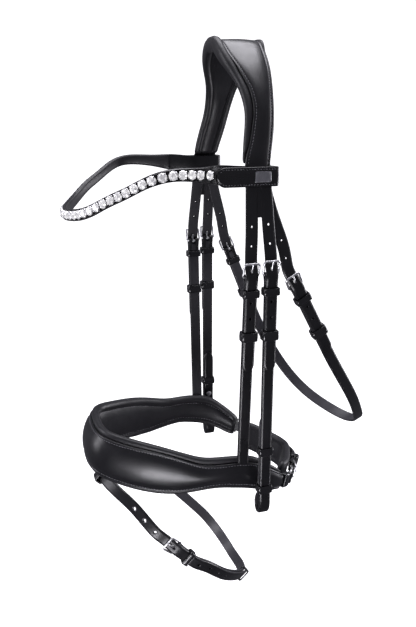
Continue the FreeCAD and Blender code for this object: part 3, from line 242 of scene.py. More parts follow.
def strap(soup, path, half=6.0, thick=2.2, s0=0.0, s1=None, holes=(), tip0=False, tip1=False, crease=0.2, layers=False,
          step=2.6, crown=0.12, wfun=None, mats=(0, 1, 2)):
    """Adds a flat strap to the soup. holes: (arc length, half width, half length). Returns nothing."""
    s1 = path.length if s1 is None else s1
    stops = []
    n = max(2, int((s1 - s0) / step))
    base = [s0 + (s1 - s0) * i / n for i in range(n + 1)]
    for hs, hu, hl in holes:
        a = hl + 0.75
        base = [s for s in base if not (hs - a - 0.7 < s < hs + a + 0.7)]
        stops += [hs - a, hs - a * 0.5, hs, hs + a * 0.5, hs + a]
    tips = []
    if tip0:
        tips += [s0 + d for d in (0.25, 0.7, 1.4, 2.4, 3.6, 5.0, 6.8, 9.0)]
        base = [s for s in base if s < s0 + 1e-6 or s > s0 + 9.8]
    if tip1:
        tips += [s1 - d for d in (0.25, 0.7, 1.4, 2.4, 3.6, 5.0, 6.8, 9.0)]
        base = [s for s in base if s > s1 - 1e-6 or s < s1 - 9.8]
    S = sorted(base + stops + tips)
    hole_rows = {}
    for hs, hu, hl in holes:
        r = min(range(len(S)), key=lambda k: abs(S[k] - hs))
        hole_rows[r - 2] = (hs, hu, hl)

    def tipf(d):
        """Share of the half width left at this distance from a pointed round tip."""
        if d >= 9.0:
            return 1.0
        x = 1 - d / 9.0
        return max(0.10, (1 - x ** 2.3) ** 0.62)

    k = half / 6.0
    cols = [c * k if abs(c) > 2 else c for c in COLS] if half > 4 else [c * k for c in COLS]
    nc = len(cols)
    h = thick / 2
    prof_top = []
    for c in cols:
        e = half - abs(c)
        if e < 1e-6:
            y = 0.22 * h
        elif e < 0.25 * k:
            y = 0.52 * h
        elif e < 0.7 * k:
            y = 0.84 * h
        elif e < 1.1 * k:
            y = 0.985 * h
        elif 1.15 * k < e < 1.4 * k:
            y = h - crease
        else:
            y = h + crown * (1 - (c / half) ** 2) - 0.01
        prof_top.append(y)
    prof_bot = [-(0.30 * h if half - abs(c) < 1e-6 else 0.75 * h if half - abs(c) < 0.25 * k else h * 0.985 if half - abs(c) < 0.7 * k else h) for c in cols]
    side = [(-0.16, 0.10), (-0.16, -0.10)] if layers else [(0.0, 0.0)]
    rows, frames = [], []
    for s in S:
        p, t, o = path.at(s)
        w = t.cross(o)
        f = 1.0
        if tip0:
            f *= tipf(s - s0)
        if tip1:
            f *= tipf(s1 - s)
        if wfun:
            f *= wfun(s)
        frames.append((p, w, o, f))
        loop = [p + w * (c * f) + o * y for c, y in zip(cols, prof_top)]
        loop += [p + w * ((half + du) * f) + o * (y * h * 2) for du, y in side]
        loop += [p + w * (c * f) + o * y for c, y in zip(cols[::-1], prof_bot[::-1])]
        loop += [p - w * ((half + du) * f) - o * (y * h * 2) for du, y in side]
        rows.append(loop)
    m = len(rows[0])
    ns = len(side)
    verts = [v for r in rows for v in r]
    faces, mi = [], []
    mid0, mid1 = cols.index(min(cols, key=lambda c: abs(c + 1.9))), cols.index(min(cols, key=lambda c: abs(c - 1.9)))
    skip = set()
    for r0 in hole_rows:
        for r in range(r0, r0 + 4):
            for c in range(mid0, mid1):
                skip.add((r, c))
                skip.add((r, nc + ns + (nc - 1 - c) - 1))
    for r in range(len(S) - 1):
        for i in range(m):
            if (r, i) in skip:
                continue
            j = (i + 1) % m
            faces.append((r * m + i, r * m + j, (r + 1) * m + j, (r + 1) * m + i))
            if i < nc - 1:
                mi.append(mats[0] if 1 <= i < nc - 2 else mats[1])
            elif nc + ns <= i < nc + ns + nc - 1:
                mi.append(mats[2])
            else:
                mi.append(mats[1])
    faces.append(tuple(range(m))[::-1])
    faces.append(tuple(range((len(S) - 1) * m, len(S) * m)))
    mi += [mats[1], mats[1]]
    # holes: a ring of sixteen points on each face, and the wall between them
    for r0, (hs, hu, hl) in hole_rows.items():
        rings = []
        for side_k, prof in ((0, h), (1, -h)):
            border = []
            def vid(r, c):
                return r * m + (c if side_k == 0 else nc + ns + (nc - 1 - c))
            for c in range(mid0, mid1):
                border.append((r0, c))
            for r in range(r0, r0 + 4):
                border.append((r, mid1))
            for c in range(mid1, mid0, -1):
                border.append((r0 + 4, c))
            for r in range(r0 + 4, r0, -1):
                border.append((r, mid0))
            ids = [vid(r, c) for r, c in border]
            p, t, o = path.at(hs)
            outer, inner = [], []
            for r, c in border:
                du, ds = cols[c], (S[r] - hs)
                ang = math.atan2(ds / (hl + 0.75), du / 1.9)
                for rad, dz, lst in ((1.22, 0.0, outer), (1.0, -0.28, inner)):
                    u = math.cos(ang) * hu * rad
                    pp, tt, oo = path.at(hs + math.sin(ang) * hl * rad)
                    ww = tt.cross(oo)
                    nrm = (abs(prof) + (crown * 0.9 if side_k == 0 else 0) + dz) * (1 if side_k == 0 else -1)
                    lst.append(pp + ww * u + oo * nrm)
            k0 = len(verts)
            verts += outer + inner
            nb = len(ids)
            for q in range(nb):
                q2 = (q + 1) % nb
                f1 = (ids[q], ids[q2], k0 + q2, k0 + q)
                f2 = (k0 + q, k0 + q2, k0 + nb + q2, k0 + nb + q)
                if side_k == 1:
                    f1, f2 = f1[::-1], f2[::-1]
                faces += [f1, f2]
                mi += [mats[0], mats[1]]
            rings.append(k0 + nb)
        nb = 16
        for q in range(nb):
            q2 = (q + 1) % nb
            faces.append((rings[0] + q, rings[0] + q2, rings[1] + q2, rings[1] + q))
            mi.append(mats[1])
    soup.add(verts, faces, mi)


def stitches(soup, path, across, lift, s0=0.0, s1=None, pitch=3.1, length=2.2, r=0.30, slant=0.10):
    """A row of sewn stitches lying in the surface: across is the distance from the centre line."""
    s1 = path.length if s1 is None else s1
    n = int((s1 - s0) / pitch)
    for i in range(n):
        s = s0 + (s1 - s0) * (i + 0.5) / n
        a = across(s) if callable(across) else across
        z = lift(s) if callable(lift) else lift
        rows = []
        for f, rad, dz in ((-0.5, 0.45, -0.32), (-0.36, 0.9, -0.02), (0.0, 1.0, 0.10), (0.36, 0.9, -0.02), (0.5, 0.45, -0.32)):
            p, t, o = path.at(s + f * length)
            w = t.cross(o)
            c = p + w * (a + f * length * slant) + o * (z + dz)
            rows.append([c + (w * math.cos(q) + o * math.sin(q) * 0.8) * (r * rad) for q in [math.tau * k / 6 for k in range(6)]])
        v, f_ = tube_rows(rows)
        soup.add(v, f_)


def ring_sweep(soup, centre_pts, normal, section, mi=0):
    """Closed sweep: centre_pts is a closed planar loop (first point not repeated), section is a list of (outward, along normal)."""
    n = len(centre_pts)
    nrm = Vector(normal).normalized()
    rows = []
    for i in range(n):
        a, b = Vector(centre_pts[i - 1]), Vector(centre_pts[(i + 1) % n])
        t = (b - a).normalized()
        out = t.cross(nrm).normalized()
        c = Vector(centre_pts[i])
        rows.append([c + out * x + nrm * y for x, y in section])
    v, f = tube_rows(rows, closed_rows=True)
    soup.add(v, f, mi)


def rounded_rect(x0, y0, x1, y1, r, k=6):
    pts = []
    for cx, cy, a0 in ((x1 - r, y1 - r, 0), (x0 + r, y1 - r, 90), (x0 + r, y0 + r, 180), (x1 - r, y0 + r, 270)):
        for i in range(k + 1):
            a = math.radians(a0 + 90 * i / k)
            pts.append((cx + r * math.cos(a), cy + r * math.sin(a)))
    return pts


def densify(loop, step):
    out = []
    n = len(loop)
    for i in range(n):
        a, b = loop[i], loop[(i + 1) % n]
        d = math.dist(a, b)
        k = max(1, int(d / step))
        for j in range(k):
            out.append(tuple(a[c] + (b[c] - a[c]) * j / k for c in range(len(a))))
    return out


# ------------------------------------------------------------------ materials
def principled(name, base, rough, metallic=0.0, spec=0.5, coat=0.0, coat_rough=0.2, sheen=0.0, ior=1.5):
    m = bpy.data.materials.new(name)
    m.use_nodes = True
    nt = m.node_tree
    b = nt.nodes["Principled BSDF"]
    b.inputs["Base Color"].default_value = (*base, 1)
    b.inputs["Roughness"].default_value = rough
    b.inputs["Metallic"].default_value = metallic
    b.inputs["Specular IOR Level"].default_value = spec
    b.inputs["Coat Weight"].default_value = coat
    b.inputs["Coat Roughness"].default_value = coat_rough
    b.inputs["Sheen Weight"].default_value = sheen
    b.inputs["Sheen Roughness"].default_value = 0.4
    b.inputs["IOR"].default_value = ior
    return m, nt, b


def node(nt, kind, **kw):
    n = nt.nodes.new(kind)
    for k, v in kw.items():
        if k in n.inputs:
            n.inputs[k].default_value = v
        else:
            setattr(n, k, v)
    return n


def ramp(nt, src, a, b, va, vb):
    r = nt.nodes.new("ShaderNodeMapRange")
    r.inputs["From Min"].default_value = a
    r.inputs["From Max"].default_value = b
    r.inputs["To Min"].default_value = va
    r.inputs["To Max"].default_value = vb
    nt.links.new(src, r.inputs["Value"])
    return r.outputs["Result"]


def mixc(nt, fac, a, b):
    m = nt.nodes.new("ShaderNodeMix")
    m.data_type = "RGBA"
    nt.links.new(fac, m.inputs[0])
    m.inputs[6].default_value = (*a, 1)
    m.inputs[7].default_value = (*b, 1)
    return m.outputs[2]


def leather(name, dark, light, rough, spread, grain=0.12, wrinkle=0.15, pores=950.0, coat=0.15, coat_rough=0.22, spec=0.5, sheen=0.0):
    m, nt, b = principled(name, dark, rough, spec=spec, coat=coat, coat_rough=coat_rough, sheen=sheen)
    tc = nt.nodes.new("ShaderNodeTexCoord")
    big = node(nt, "ShaderNodeTexNoise", Scale=22.0, Detail=4.0, Roughness=0.6)
    mid = node(nt, "ShaderNodeTexNoise", Scale=160.0, Detail=5.0, Roughness=0.6)
    vor = node(nt, "ShaderNodeTexVoronoi", Scale=pores)
    fine = node(nt, "ShaderNodeTexNoise", Scale=1500.0, Detail=2.0)
    for t in (big, mid, vor, fine):
        nt.links.new(tc.outputs["Object"], t.inputs["Vector"])
    nt.links.new(mixc(nt, ramp(nt, big.outputs["Fac"], 0.3, 0.7, 0.0, 1.0), dark, light), b.inputs["Base Color"])
    add = nt.nodes.new("ShaderNodeMath")
    add.operation = "ADD"
    nt.links.new(ramp(nt, big.outputs["Fac"], 0.3, 0.7, rough - spread, rough + spread), add.inputs[0])
    nt.links.new(ramp(nt, mid.outputs["Fac"], 0.3, 0.7, -0.04, 0.05), add.inputs[1])
    nt.links.new(add.outputs[0], b.inputs["Roughness"])
    b1 = node(nt, "ShaderNodeBump", Strength=wrinkle, Distance=0.0006)
    nt.links.new(mid.outputs["Fac"], b1.inputs["Height"])
    b2 = node(nt, "ShaderNodeBump", Strength=grain, Distance=0.00025)
    nt.links.new(vor.outputs["Distance"], b2.inputs["Height"])
    nt.links.new(b1.outputs["Normal"], b2.inputs["Normal"])
    b3 = node(nt, "ShaderNodeBump", Strength=grain * 0.5, Distance=0.0001)
    nt.links.new(fine.outputs["Fac"], b3.inputs["Height"])
    nt.links.new(b2.outputs["Normal"], b3.inputs["Normal"])
    nt.links.new(b3.outputs["Normal"], b.inputs["Normal"])
    return m


PANEL = leather("panel_leather_mat", (0.0046, 0.0045, 0.0058), (0.0085, 0.0083, 0.0104), 0.33, 0.035, grain=0.08, wrinkle=0.05, coat=0.25, coat_rough=0.30, spec=0.45)
STRAP = leather("strap_leather_mat", (0.0046, 0.0045, 0.0056), (0.0095, 0.0092, 0.0112), 0.33, 0.06, grain=0.10, wrinkle=0.10, coat=0.20, coat_rough=0.26, spec=0.45)
# edge paint, lighter than the face: partly the edge paint's own tone, partly a painted highlight along the cut edges
EDGE = leather("edge_paint_and_sheen_mat", (0.013, 0.013, 0.0155), (0.030, 0.029, 0.034), 0.28, 0.08, grain=0.04, wrinkle=0.22, coat=0.3, coat_rough=0.25, spec=0.6)
# a lighter copy of the strap lining, used on the throat strap and flash strap: painted light, the sheen on their back
# side
LIT_LINING = leather("lit_lining_mat", (0.040, 0.039, 0.045), (0.068, 0.066, 0.074), 0.42, 0.08, grain=0.18, wrinkle=0.20, coat=0.0)
BACKSIDE = leather("strap_lining_mat", (0.017, 0.0165, 0.020), (0.030, 0.029, 0.034), 0.48, 0.08, grain=0.18, wrinkle=0.20, coat=0.0)
NAPPA = leather("nappa_mat", (0.0065, 0.0063, 0.0082), (0.0125, 0.0122, 0.0150), 0.46, 0.06, grain=0.26, wrinkle=0.26, pores=650.0, coat=0.05, coat_rough=0.4, sheen=0.06)
TAB = leather("tab_leather_mat", (0.0042, 0.0040, 0.0050), (0.0085, 0.0082, 0.0100), 0.25, 0.05, grain=0.06, wrinkle=0.16, coat=0.35, coat_rough=0.2)
KEEP = leather("keeper_leather_mat", (0.0046, 0.0044, 0.0056), (0.0095, 0.0092, 0.0112), 0.24, 0.05, grain=0.06, wrinkle=0.10, coat=0.45, coat_rough=0.18, spec=0.55)

THREAD, nt, b = principled("thread_mat", (0.03, 0.03, 0.033), 0.55, sheen=0.2)
tc = nt.nodes.new("ShaderNodeTexCoord")
wv = node(nt, "ShaderNodeTexWave", Scale=900.0, Distortion=1.0)
nt.links.new(tc.outputs["Object"], wv.inputs["Vector"])
# painted highlight: the thread is black, but this colour is mid-grey so the stitch rows show as light dots; the wave
# gives the twist
nt.links.new(mixc(nt, wv.outputs["Fac"], (0.15, 0.148, 0.162), (0.27, 0.267, 0.29)), b.inputs["Base Color"])
bp = node(nt, "ShaderNodeBump", Strength=0.5, Distance=0.0001)
nt.links.new(wv.outputs["Fac"], bp.inputs["Height"])
nt.links.new(bp.outputs["Normal"], b.inputs["Normal"])


def metal(name, a, c, rough, spread, brushed=False):
    m, nt, b = principled(name, a, rough, metallic=1.0)
    tc = nt.nodes.new("ShaderNodeTexCoord")
    mp = nt.nodes.new("ShaderNodeMapping")
    mp.inputs["Scale"].default_value = (1, 14, 1) if brushed else (1, 1, 1)
    nt.links.new(tc.outputs["Object"], mp.inputs["Vector"])
    n1 = node(nt, "ShaderNodeTexNoise", Scale=260.0, Detail=6.0, Roughness=0.65)
    n2 = node(nt, "ShaderNodeTexNoise", Scale=2200.0, Detail=2.0)
    nt.links.new(mp.outputs[0], n1.inputs["Vector"])
    nt.links.new(mp.outputs[0], n2.inputs["Vector"])
    nt.links.new(mixc(nt, ramp(nt, n1.outputs["Fac"], 0.35, 0.65, 0, 1), a, c), b.inputs["Base Color"])
    nt.links.new(ramp(nt, n1.outputs["Fac"], 0.3, 0.7, rough - spread, rough + spread), b.inputs["Roughness"])
    bb = node(nt, "ShaderNodeBump", Strength=0.06, Distance=0.0001)
    nt.links.new(n2.outputs["Fac"], bb.inputs["Height"])
    nt.links.new(bb.outputs["Normal"], b.inputs["Normal"])
    return m


STEEL = metal("polished_steel_mat", (0.80, 0.80, 0.81), (0.92, 0.92, 0.93), 0.34, 0.05)
SETTING = metal("setting_metal_mat", (0.88, 0.88, 0.89), (0.97, 0.97, 0.97), 0.27, 0.06)
DARKSTEEL = metal("dark_steel_mat", (0.16, 0.16, 0.17), (0.30, 0.30, 0.31), 0.25, 0.05)
PLATE = metal("satin_plate_mat", (0.40, 0.40, 0.42), (0.54, 0.54, 0.56), 0.34, 0.08, brushed=True)

CRYSTAL, nt, b = principled("crystal_mat", (0.97, 0.98, 1.0), 0.03, ior=1.56, coat=1.0, coat_rough=0.02)
b.inputs["Transmission Weight"].default_value = 0.12
b.inputs["Metallic"].default_value = 0.35
# painted sparkle: the stones glow with this warm white as if lit from within
b.inputs["Emission Color"].default_value = (1.0, 0.985, 0.96, 1)
tc = nt.nodes.new("ShaderNodeTexCoord")
n1 = node(nt, "ShaderNodeTexNoise", Scale=420.0, Detail=1.0)
nt.links.new(tc.outputs["Object"], n1.inputs["Vector"])
nt.links.new(mixc(nt, ramp(nt, n1.outputs["Fac"], 0.4, 0.6, 0, 1), (0.90, 0.90, 0.92), (1.0, 1.0, 1.0)), b.inputs["Base Color"])
nt.links.new(ramp(nt, n1.outputs["Fac"], 0.3, 0.7, 0.05, 0.16), b.inputs["Roughness"])
# painted sparkle: the stones' glow runs in brighter and darker cells across each stone, standing in for light returned
# from the pavilion facets
painted_sparkle_cells = node(nt, "ShaderNodeTexVoronoi", Scale=560.0)
nt.links.new(tc.outputs["Object"], painted_sparkle_cells.inputs["Vector"])
cs = nt.nodes.new("ShaderNodeSeparateColor")
nt.links.new(painted_sparkle_cells.outputs["Color"], cs.inputs[0])
nt.links.new(ramp(nt, cs.outputs[0], 0.15, 0.85, 0.03, 0.46), b.inputs["Emission Strength"])

LEATHERS = [STRAP, EDGE, BACKSIDE]


def done(ob, body, slot, *nodes_, padded=None, normals=True):
    if normals:
        fix_normals(ob)
    if nodes_:
        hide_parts(*nodes_)
    if body:
        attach(ob, body)
    return ob


# ------------------------------------------------------------------ buckle stations
PIVOT_UP, PIVOT_OUT = 10.8, 1.5


class Station:
    """Local axes at a buckle: n outward, u across, v up the strap. Origin at the heel bar."""

    def __init__(self, pivot, up, out):
        self.v = Vector(up).normalized()
        o = Vector(out)
        self.n = (o - self.v * o.dot(self.v)).normalized()
        self.u = self.v.cross(self.n)
        self.h = Vector(pivot) - self.v * PIVOT_UP - self.n * PIVOT_OUT

    def __call__(self, n, u, v):
        return self.h + self.n * n + self.u * u + self.v * v

    def path2(self, pts, flip=False):
        """Path from (n, v) points, outward direction on the left of travel."""
        P = [self(n, 0, v) for n, v in pts]
        outs = []
        for i in range(len(pts)):
            a, b = pts[max(0, i - 1)], pts[min(len(pts) - 1, i + 1)]
            tn, tv = b[0] - a[0], b[1] - a[1]
            o = self.n * (-tv) + self.v * tn
            outs.append(-o if flip else o)
        return Path(P, outs)


nt_ = math.radians(12.3)
NBO = Vector((0, -20, -397))


def nbp(x, y, z):
    return Vector((x, NBO.y + y * math.cos(nt_) + z * math.sin(nt_), NBO.z - y * math.sin(nt_) + z * math.cos(nt_)))


def nbd(x, y, z=0.0):
    return nbp(x, y, z) - NBO


CZ = -23.5
HEEL, CUP, COUT = (31.0, 87.6), (0.890, -0.456), (0.456, 0.890)
RING_OUT, RING_IN = (58.6, 72.0), (48.4, 78.6)
ST = {
    "near_cheek": Station((99.8, 0, -184.7), (0, 0, 1), (1, 0, 0)),
    "far_cheek": Station((-99.8, 0, -184.7), (0, 0, 1), (-1, 0, 0)),
    "near_nose": Station((97.0, -18.3, -186.7), (0.062, 0, 0.998), (1, 0, 0)),
    "far_nose": Station((-97.0, -18.3, -186.7), (-0.062, 0, 0.998), (-1, 0, 0)),
    "near_throat": Station((97.3, 22.5, -200.0), (0.131, -0.499, 0.857), (1, 0, 0)),
    "far_throat": Station((-97.3, 22.5, -200.0), (-0.033, -0.365, 0.930), (-1, 0, 0)),
    "flash": Station((73.0, -94.0, -480.3), (-0.13, -0.71, 0.69), (1, 0, 0)),
    "chin": Station(nbp(HEEL[0] + CUP[0] * PIVOT_UP + COUT[0] * PIVOT_OUT, HEEL[1] + CUP[1] * PIVOT_UP + COUT[1] * PIVOT_OUT, CZ), nbd(*CUP), nbd(*COUT)),
}
TILT = math.atan2(3.8, 13.5)
FRAME_LEN = math.hypot(3.8, 13.5)


def buckle_frame(soup, st):
    """Wire frame: heel bar at the origin, front bar 14 mm up, tilted outward; round wire, a little flatter at the front."""
    loop = densify(rounded_rect(0, -7.45, FRAME_LEN, 7.45, 2.6, 8), 1.6)
    s, c = math.sin(TILT), math.cos(TILT)
    ax, az = st.n * s + st.v * c, st.n * c - st.v * s
    pts = [st.h + ax * x + st.u * y for x, y in loop]
    n = len(pts)
    rows = []
    for i in range(n):
        t = (pts[(i + 1) % n] - pts[i - 1]).normalized()
        out = t.cross(az).normalized()
        x = loop[i][0] / FRAME_LEN
        r = 1.02 + 0.10 * smoothstep(0.1, 0.5, x)
        rz = 1.02 + 0.03 * smoothstep(0.1, 0.5, x)
        rows.append([pts[i] + out * (math.cos(a) * r) + az * (math.sin(a) * rz) for a in [math.tau * k / 14 for k in range(14)]])
    v, f = tube_rows(rows, closed_rows=True)
    soup.add(v, f)


def buckle_tongue(soup, st):
    # eye round the heel bar
    sec = [(math.cos(a) * 0.40, math.sin(a) * 1.15) for a in [math.tau * k / 12 for k in range(12)]]
    ring = [st.h + st.n * (math.cos(a) * 1.62) + st.v * (math.sin(a) * 1.62) for a in [math.tau * k / 28 for k in range(28)]]
    ring_sweep(soup, ring, st.u, sec)
    # tapered prong with a rounded tip
    a, b = Vector((1.35, 0, 0.9)), Vector((6.30, 0, 14.7))
    rows = []
    for f, r in ((0.0, 0.55), (0.04, 0.78), (0.2, 0.80), (0.5, 0.74), (0.8, 0.70), (0.93, 0.66), (0.975, 0.5), (1.0, 0.2)):
        q = a.lerp(b, f)
        q.x += 0.35 * math.sin(math.pi * f)
        d = (b - a).normalized()
        side = Vector((d.z, 0, -d.x))
        row = []
        for k in range(12):
            g = math.tau * k / 12
            off = side * (math.sin(g) * r)
            row.append(st(q.x + off.x, math.cos(g) * r, q.z + off.z))
        rows.append(row)
    v, f = tube_rows(rows)
    soup.add(v, f)


def keeper(soup, st, v0, height, inner=(-1.75, 4.9), wall=1.7, hu=6.4, thread=None, mi=0, bow=0.0):
    """Leather loop: rounded box, edges bevelled and creased."""
    loop = densify(rounded_rect(inner[0] - wall / 2, -hu - wall / 2, inner[1] + wall / 2, hu + wall / 2, 1.25, 5), 1.4)
    h, w = height / 2, wall / 2
    sec = [(-w, -h + 0.35), (-w + 0.3, -h + 0.05), (w - 0.45, -h), (w - 0.08, -h + 0.35), (w, -h + 0.8), (w - 0.17, -h + 1.15), (w + 0.02, -h + 1.5), (w + 0.12, 0),
           (w + 0.02, h - 1.5), (w - 0.17, h - 1.15), (w, h - 0.8), (w - 0.08, h - 0.35), (w - 0.45, h), (-w + 0.3, h - 0.05), (-w, h - 0.35), (-w, 0)]
    pts = [st(n, u, v0 + h) for n, u in loop]
    nrm = st.v
    n = len(pts)
    cen = st((inner[0] + inner[1]) / 2, 0, v0 + h)
    rows = []
    for i in range(n):
        t = (pts[(i + 1) % n] - pts[i - 1]).normalized()
        out = t.cross(nrm).normalized()
        if out.dot(pts[i] - cen) < 0:
            out = -out
        rows.append([pts[i] + out * x + nrm * y for x, y in sec])
    v, f = tube_rows(rows, closed_rows=True)
    k = len(sec)
    mats = []
    for r in range(n):
        for i in range(k):
            mats.append(1 if i in (0, 1, 2, 12, 13, 14) else 0)
    soup.add(v, f, mats if mi == 0 else mi)
    if thread is not None:
        pass


TAIL = [(1.6, 10.2), (2.4, 8), (3.35, 5), (4.3, 2.2), (4.75, -0.4), (4.55, -3.2), (4.0, -6.5), (3.55, -10.5), (3.4, -16)]
LOOP = [(0, -226), (0.5, -233), (0.4, -240), (-1.3, -247), (-5.6, -250.8), (-9.8, -248.6), (-11.4, -243), (-10.2, -236.5), (-6.6, -230.8), (-4.4, -226), (-3.8, -221)]

thread = {}


def threads(body):
    return thread.setdefault(body, Soup())


def chape(soup, st, body):
    """The strap's end folded round the heel bar, with a slot for the tongue."""
    pts = [(-0.95, -13.5), (-0.95, -9), (-1.2, -5.4), (-2.2, -1.8), (-2.35, 0.2)]
    pts += [(2.36 * math.cos(math.radians(a)), 2.36 * math.sin(math.radians(a))) for a in range(165, 10, -15)]
    pts += [(2.35, 0.2), (2.2, -1.8), (1.3, -5.4), (0.95, -9), (0.9, -11.0)]
    line = spline(pts, 60)
    # left and right cheeks of the slot
    for s in (1, -1):
        p = st.path2(line, flip=False)
        p = Path([q + st.u * (s * 3.95) for q in p.p], [o for o in p.o])
        strap(soup, p, half=2.05, thick=1.75, crease=0.0, crown=0.02, step=1.2, mats=(0, 1, 1))
    return line


def billet_points(side, kind):
    s = 1 if side == "near" else -1
    P = {
        "nose": [(82.0, -14.35, -97.5), (84.15, -14.6, -110), (88.4, -15.7, -135), (93.6, -17.3, -163)],
        "cheek": [(82.0, -2.15, -97.5), (84.3, -2.0, -110), (89.0, -1.2, -135), (94.8, -0.4, -163)],
        "throat": [(78.9, -4.0, -98.2), (81.0, -2.4, -110), (84.4, 2.0, -130), (88.4, 8.6, -152), (92.9, 15.8, -176)],
    }[kind]
    return [(s * x, y, z) for x, y, z in P]


BODY_OF = {"cheek": "{}_cheekpiece", "nose": "noseband", "throat": "throatlash"}
for side in ("near", "far"):
    s = 1 if side == "near" else -1
    for kind in ("cheek", "nose", "throat"):
        key = side + "_" + kind
        st = ST[key]
        body = BODY_OF[kind].format(side)
        up = [Vector(p) for p in billet_points(side, kind)]
        low = [st(0.0, 0, 17.4), st(1.35, 0, 11.4)] + [st(n, 0, v) for n, v in TAIL[1:]] + [st(3.4, 0, v) for v in ((-26, -40, -56, -70, -84) if kind == "throat" else (-26, -40, -56, -70, -82, -94))]
        line = spline([tuple(p) for p in up + low], 190)
        pth = Path(line, lambda p, t, i, st=st, s=s: Vector((s, 0, 0)) * (1 - smoothstep(-100, -200, p.z) if False else 1.0) * max(0.0, 1 - smoothstep(-110, -185, p.z) if False else 0.0) + st.n)
        sp = Soup()
        crossing = pth.near(st(3.0, 0, 6.0))
        holes = [(crossing, 1.05, 2.5)]
        for v in (-24.0, -39.5, -55.0):
            holes.append((pth.near(st(3.4, 0, v)), 1.2, 1.2))
        for v in ((29, 46) if kind != "throat" else (30, 46)):
            target = st(0, 0, v)
            zz = target.z
            best = min((k for k in range(len(pth.p)) if (pth.p[k] - st.h).dot(st.v) > 5), key=lambda k: abs((pth.p[k] - st.h).length - v))
            r_h = (1.15 if kind == "cheek" else 0.95) if side == "near" else 0.7
            holes.append((pth.s[best], r_h, r_h))
        strap(sp, pth, half=6.0, thick=2.2, holes=holes, tip1=True, crease=0.16)
        ob = sp.obj(key + "_billet", LEATHERS)
        fix_normals(ob)
        if kind == "cheek":
            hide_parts(key + "_tail")
        elif side == "near":
            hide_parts(kind + "_tails")
        tuple(c * MM for c in st(1.0, 0, 15.0))
        tuple(c * MM for c in st(1.5, 0, 6.5))
        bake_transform(ob)
        # lower strap with chape, keepers, buckle
        sp = Soup()
        if kind == "cheek":
            line2 = [(0.0, -3.4), (0.0, -9.0), (0.0, -30.0), (0.0, -60.0), (0.0, -120.0), (0.0, -180.0), (0.0, -210.0)]
            line2 = resample(line2, 60) + spline([(0.0, -216.0)] + LOOP + [(-3.8, -212)], 90) + resample([(-3.8, -206.0), (-3.8, -143.0)], 20)
            p2 = st.path2(line2)
            strap(sp, p2, half=6.0, thick=3.3, tip1=True, crease=0.2, layers=True, holes=[(p2.near(st(-3.8, 0, -197.5)), 1.75, 1.75)], step=3.0)
            th = threads(body)
            for a in (-4.6, 4.6):
                stitches(th, p2, a, 1.66, 4.0, 9.5)
                stitches(th, p2, a, 1.66, 17.0, 21.0)
                stitches(th, p2, a, 1.66, 204.0, 216.0)
        elif kind == "nose":
            p2 = st.path2(resample([(0.0, -3.4), (0.0, -207.0)], 120))
            strap(sp, p2, half=6.0, thick=3.3, crease=0.2, layers=True, step=3.0)
            th = threads(body)
            for a in (-4.6, 4.6):
                stitches(th, p2, a, 1.66, 4.0, 9.5)
                stitches(th, p2, a, 1.66, 17.0, 21.0)
        if kind != "throat":
            chape(sp, st, body)
            ob = sp.obj(key + "_strap_piece", LEATHERS)
            done(ob, body, "strap_leather", key + "_strap")
        # fixed keeper and runner
        sp = Soup()
        keeper(sp, st, -18.5, 7.0)
        ob = sp.obj(key + "_fixed_keeper_piece", [KEEP, EDGE])
        done(ob, body, "strap_leather", *([kind + "_fixed_keepers"] if side == "near" and kind != "cheek" else []))
        sp = Soup()
        keeper(sp, st, -62.0, 9.0)
        ob = sp.obj(key + "_runner_piece", [KEEP, EDGE])
        done(ob, key + "_runner", "strap_leather", key + "_runner")
        sp = Soup()
        buckle_frame(sp, st)
        ob = sp.obj(key + "_buckle_piece", [STEEL])
        done(ob, body, "buckle_steel", *([key + "_buckle"] if kind == "cheek" else [kind + "_buckles"] if side == "near" else []))
        sp = Soup()
        buckle_tongue(sp, st)
        ob = sp.obj(key + "_tongue_piece", [STEEL])
        done(ob, key + "_tongue", "buckle_steel", key + "_tongue")
    # bit loop: keepers and hook stud
    st = ST[side + "_cheek"]
    body = side + "_cheekpiece"
    sp = Soup()
    keeper(sp, st, -184.5, 8.0, inner=(-5.75, 1.95), wall=1.3, hu=6.25)
    keeper(sp, st, -226.5, 8.0, inner=(-6.3, 2.1), wall=1.3, hu=6.25)
    done(sp.obj(side + "_bit_keepers_piece", [KEEP, EDGE]), body, "strap_leather", side + "_cheek_keepers")
    sp = Soup()
    prof = [(-1.7, 1.7), (-5.6, 1.7), (-5.75, 2.2), (-5.9, 2.8), (-6.2, 3.0), (-6.7, 2.9), (-7.1, 2.2), (-7.35, 1.2), (-7.4, 0.25)]
    rows = [[st(n, r * math.cos(a), -197.5 + r * math.sin(a)) for a in [math.tau * k / 24 for k in range(24)]] for n, r in prof]
    v, f = tube_rows(rows)
    sp.add(v, f)
    done(sp.obj(side + "_hook_stud_piece", [STEEL]), body, "buckle_steel", side + "_hook_stud")

# ------------------------------------------------------------------ headpiece
ARCH = [(0, 13.2), (12, 11.4), (24, 3.6), (40, -10.5), (50, -22), (58.5, -34), (68, -52), (77, -77), (81.5, -92), (84.6, -106)]
FRONT = smooth_table([(-120, -20.3), (-98, -20.3), (-88, -18), (-78, -14.2), (-63, -10.2), (-52, -7.6), (-34, -7.8), (-24, -10.6), (-10, -15.8), (2, -20), (13.3, -21.5)])
BACK = smooth_table([(-120, 3.8), (-98, 3.8), (-72, 8.6), (-52, 11.9), (-34, 14), (-16, 16.4), (0, 18), (13.3, 19)])
PAD_FRONT = smooth_table([(-120, -21.6), (-98, -21.6), (-72, -18.0), (-52, -14.7), (-35, -15.2), (-23, -17.8), (-12, -22.4), (0, -27.2), (13.3, -29.2)])
PAD_BACK = smooth_table([(-120, 4.6), (-98, 4.6), (-72, 9.8), (-52, 13.1), (-34, 15.4), (-16, 18.2), (0, 20.4), (13.3, 21.4)])
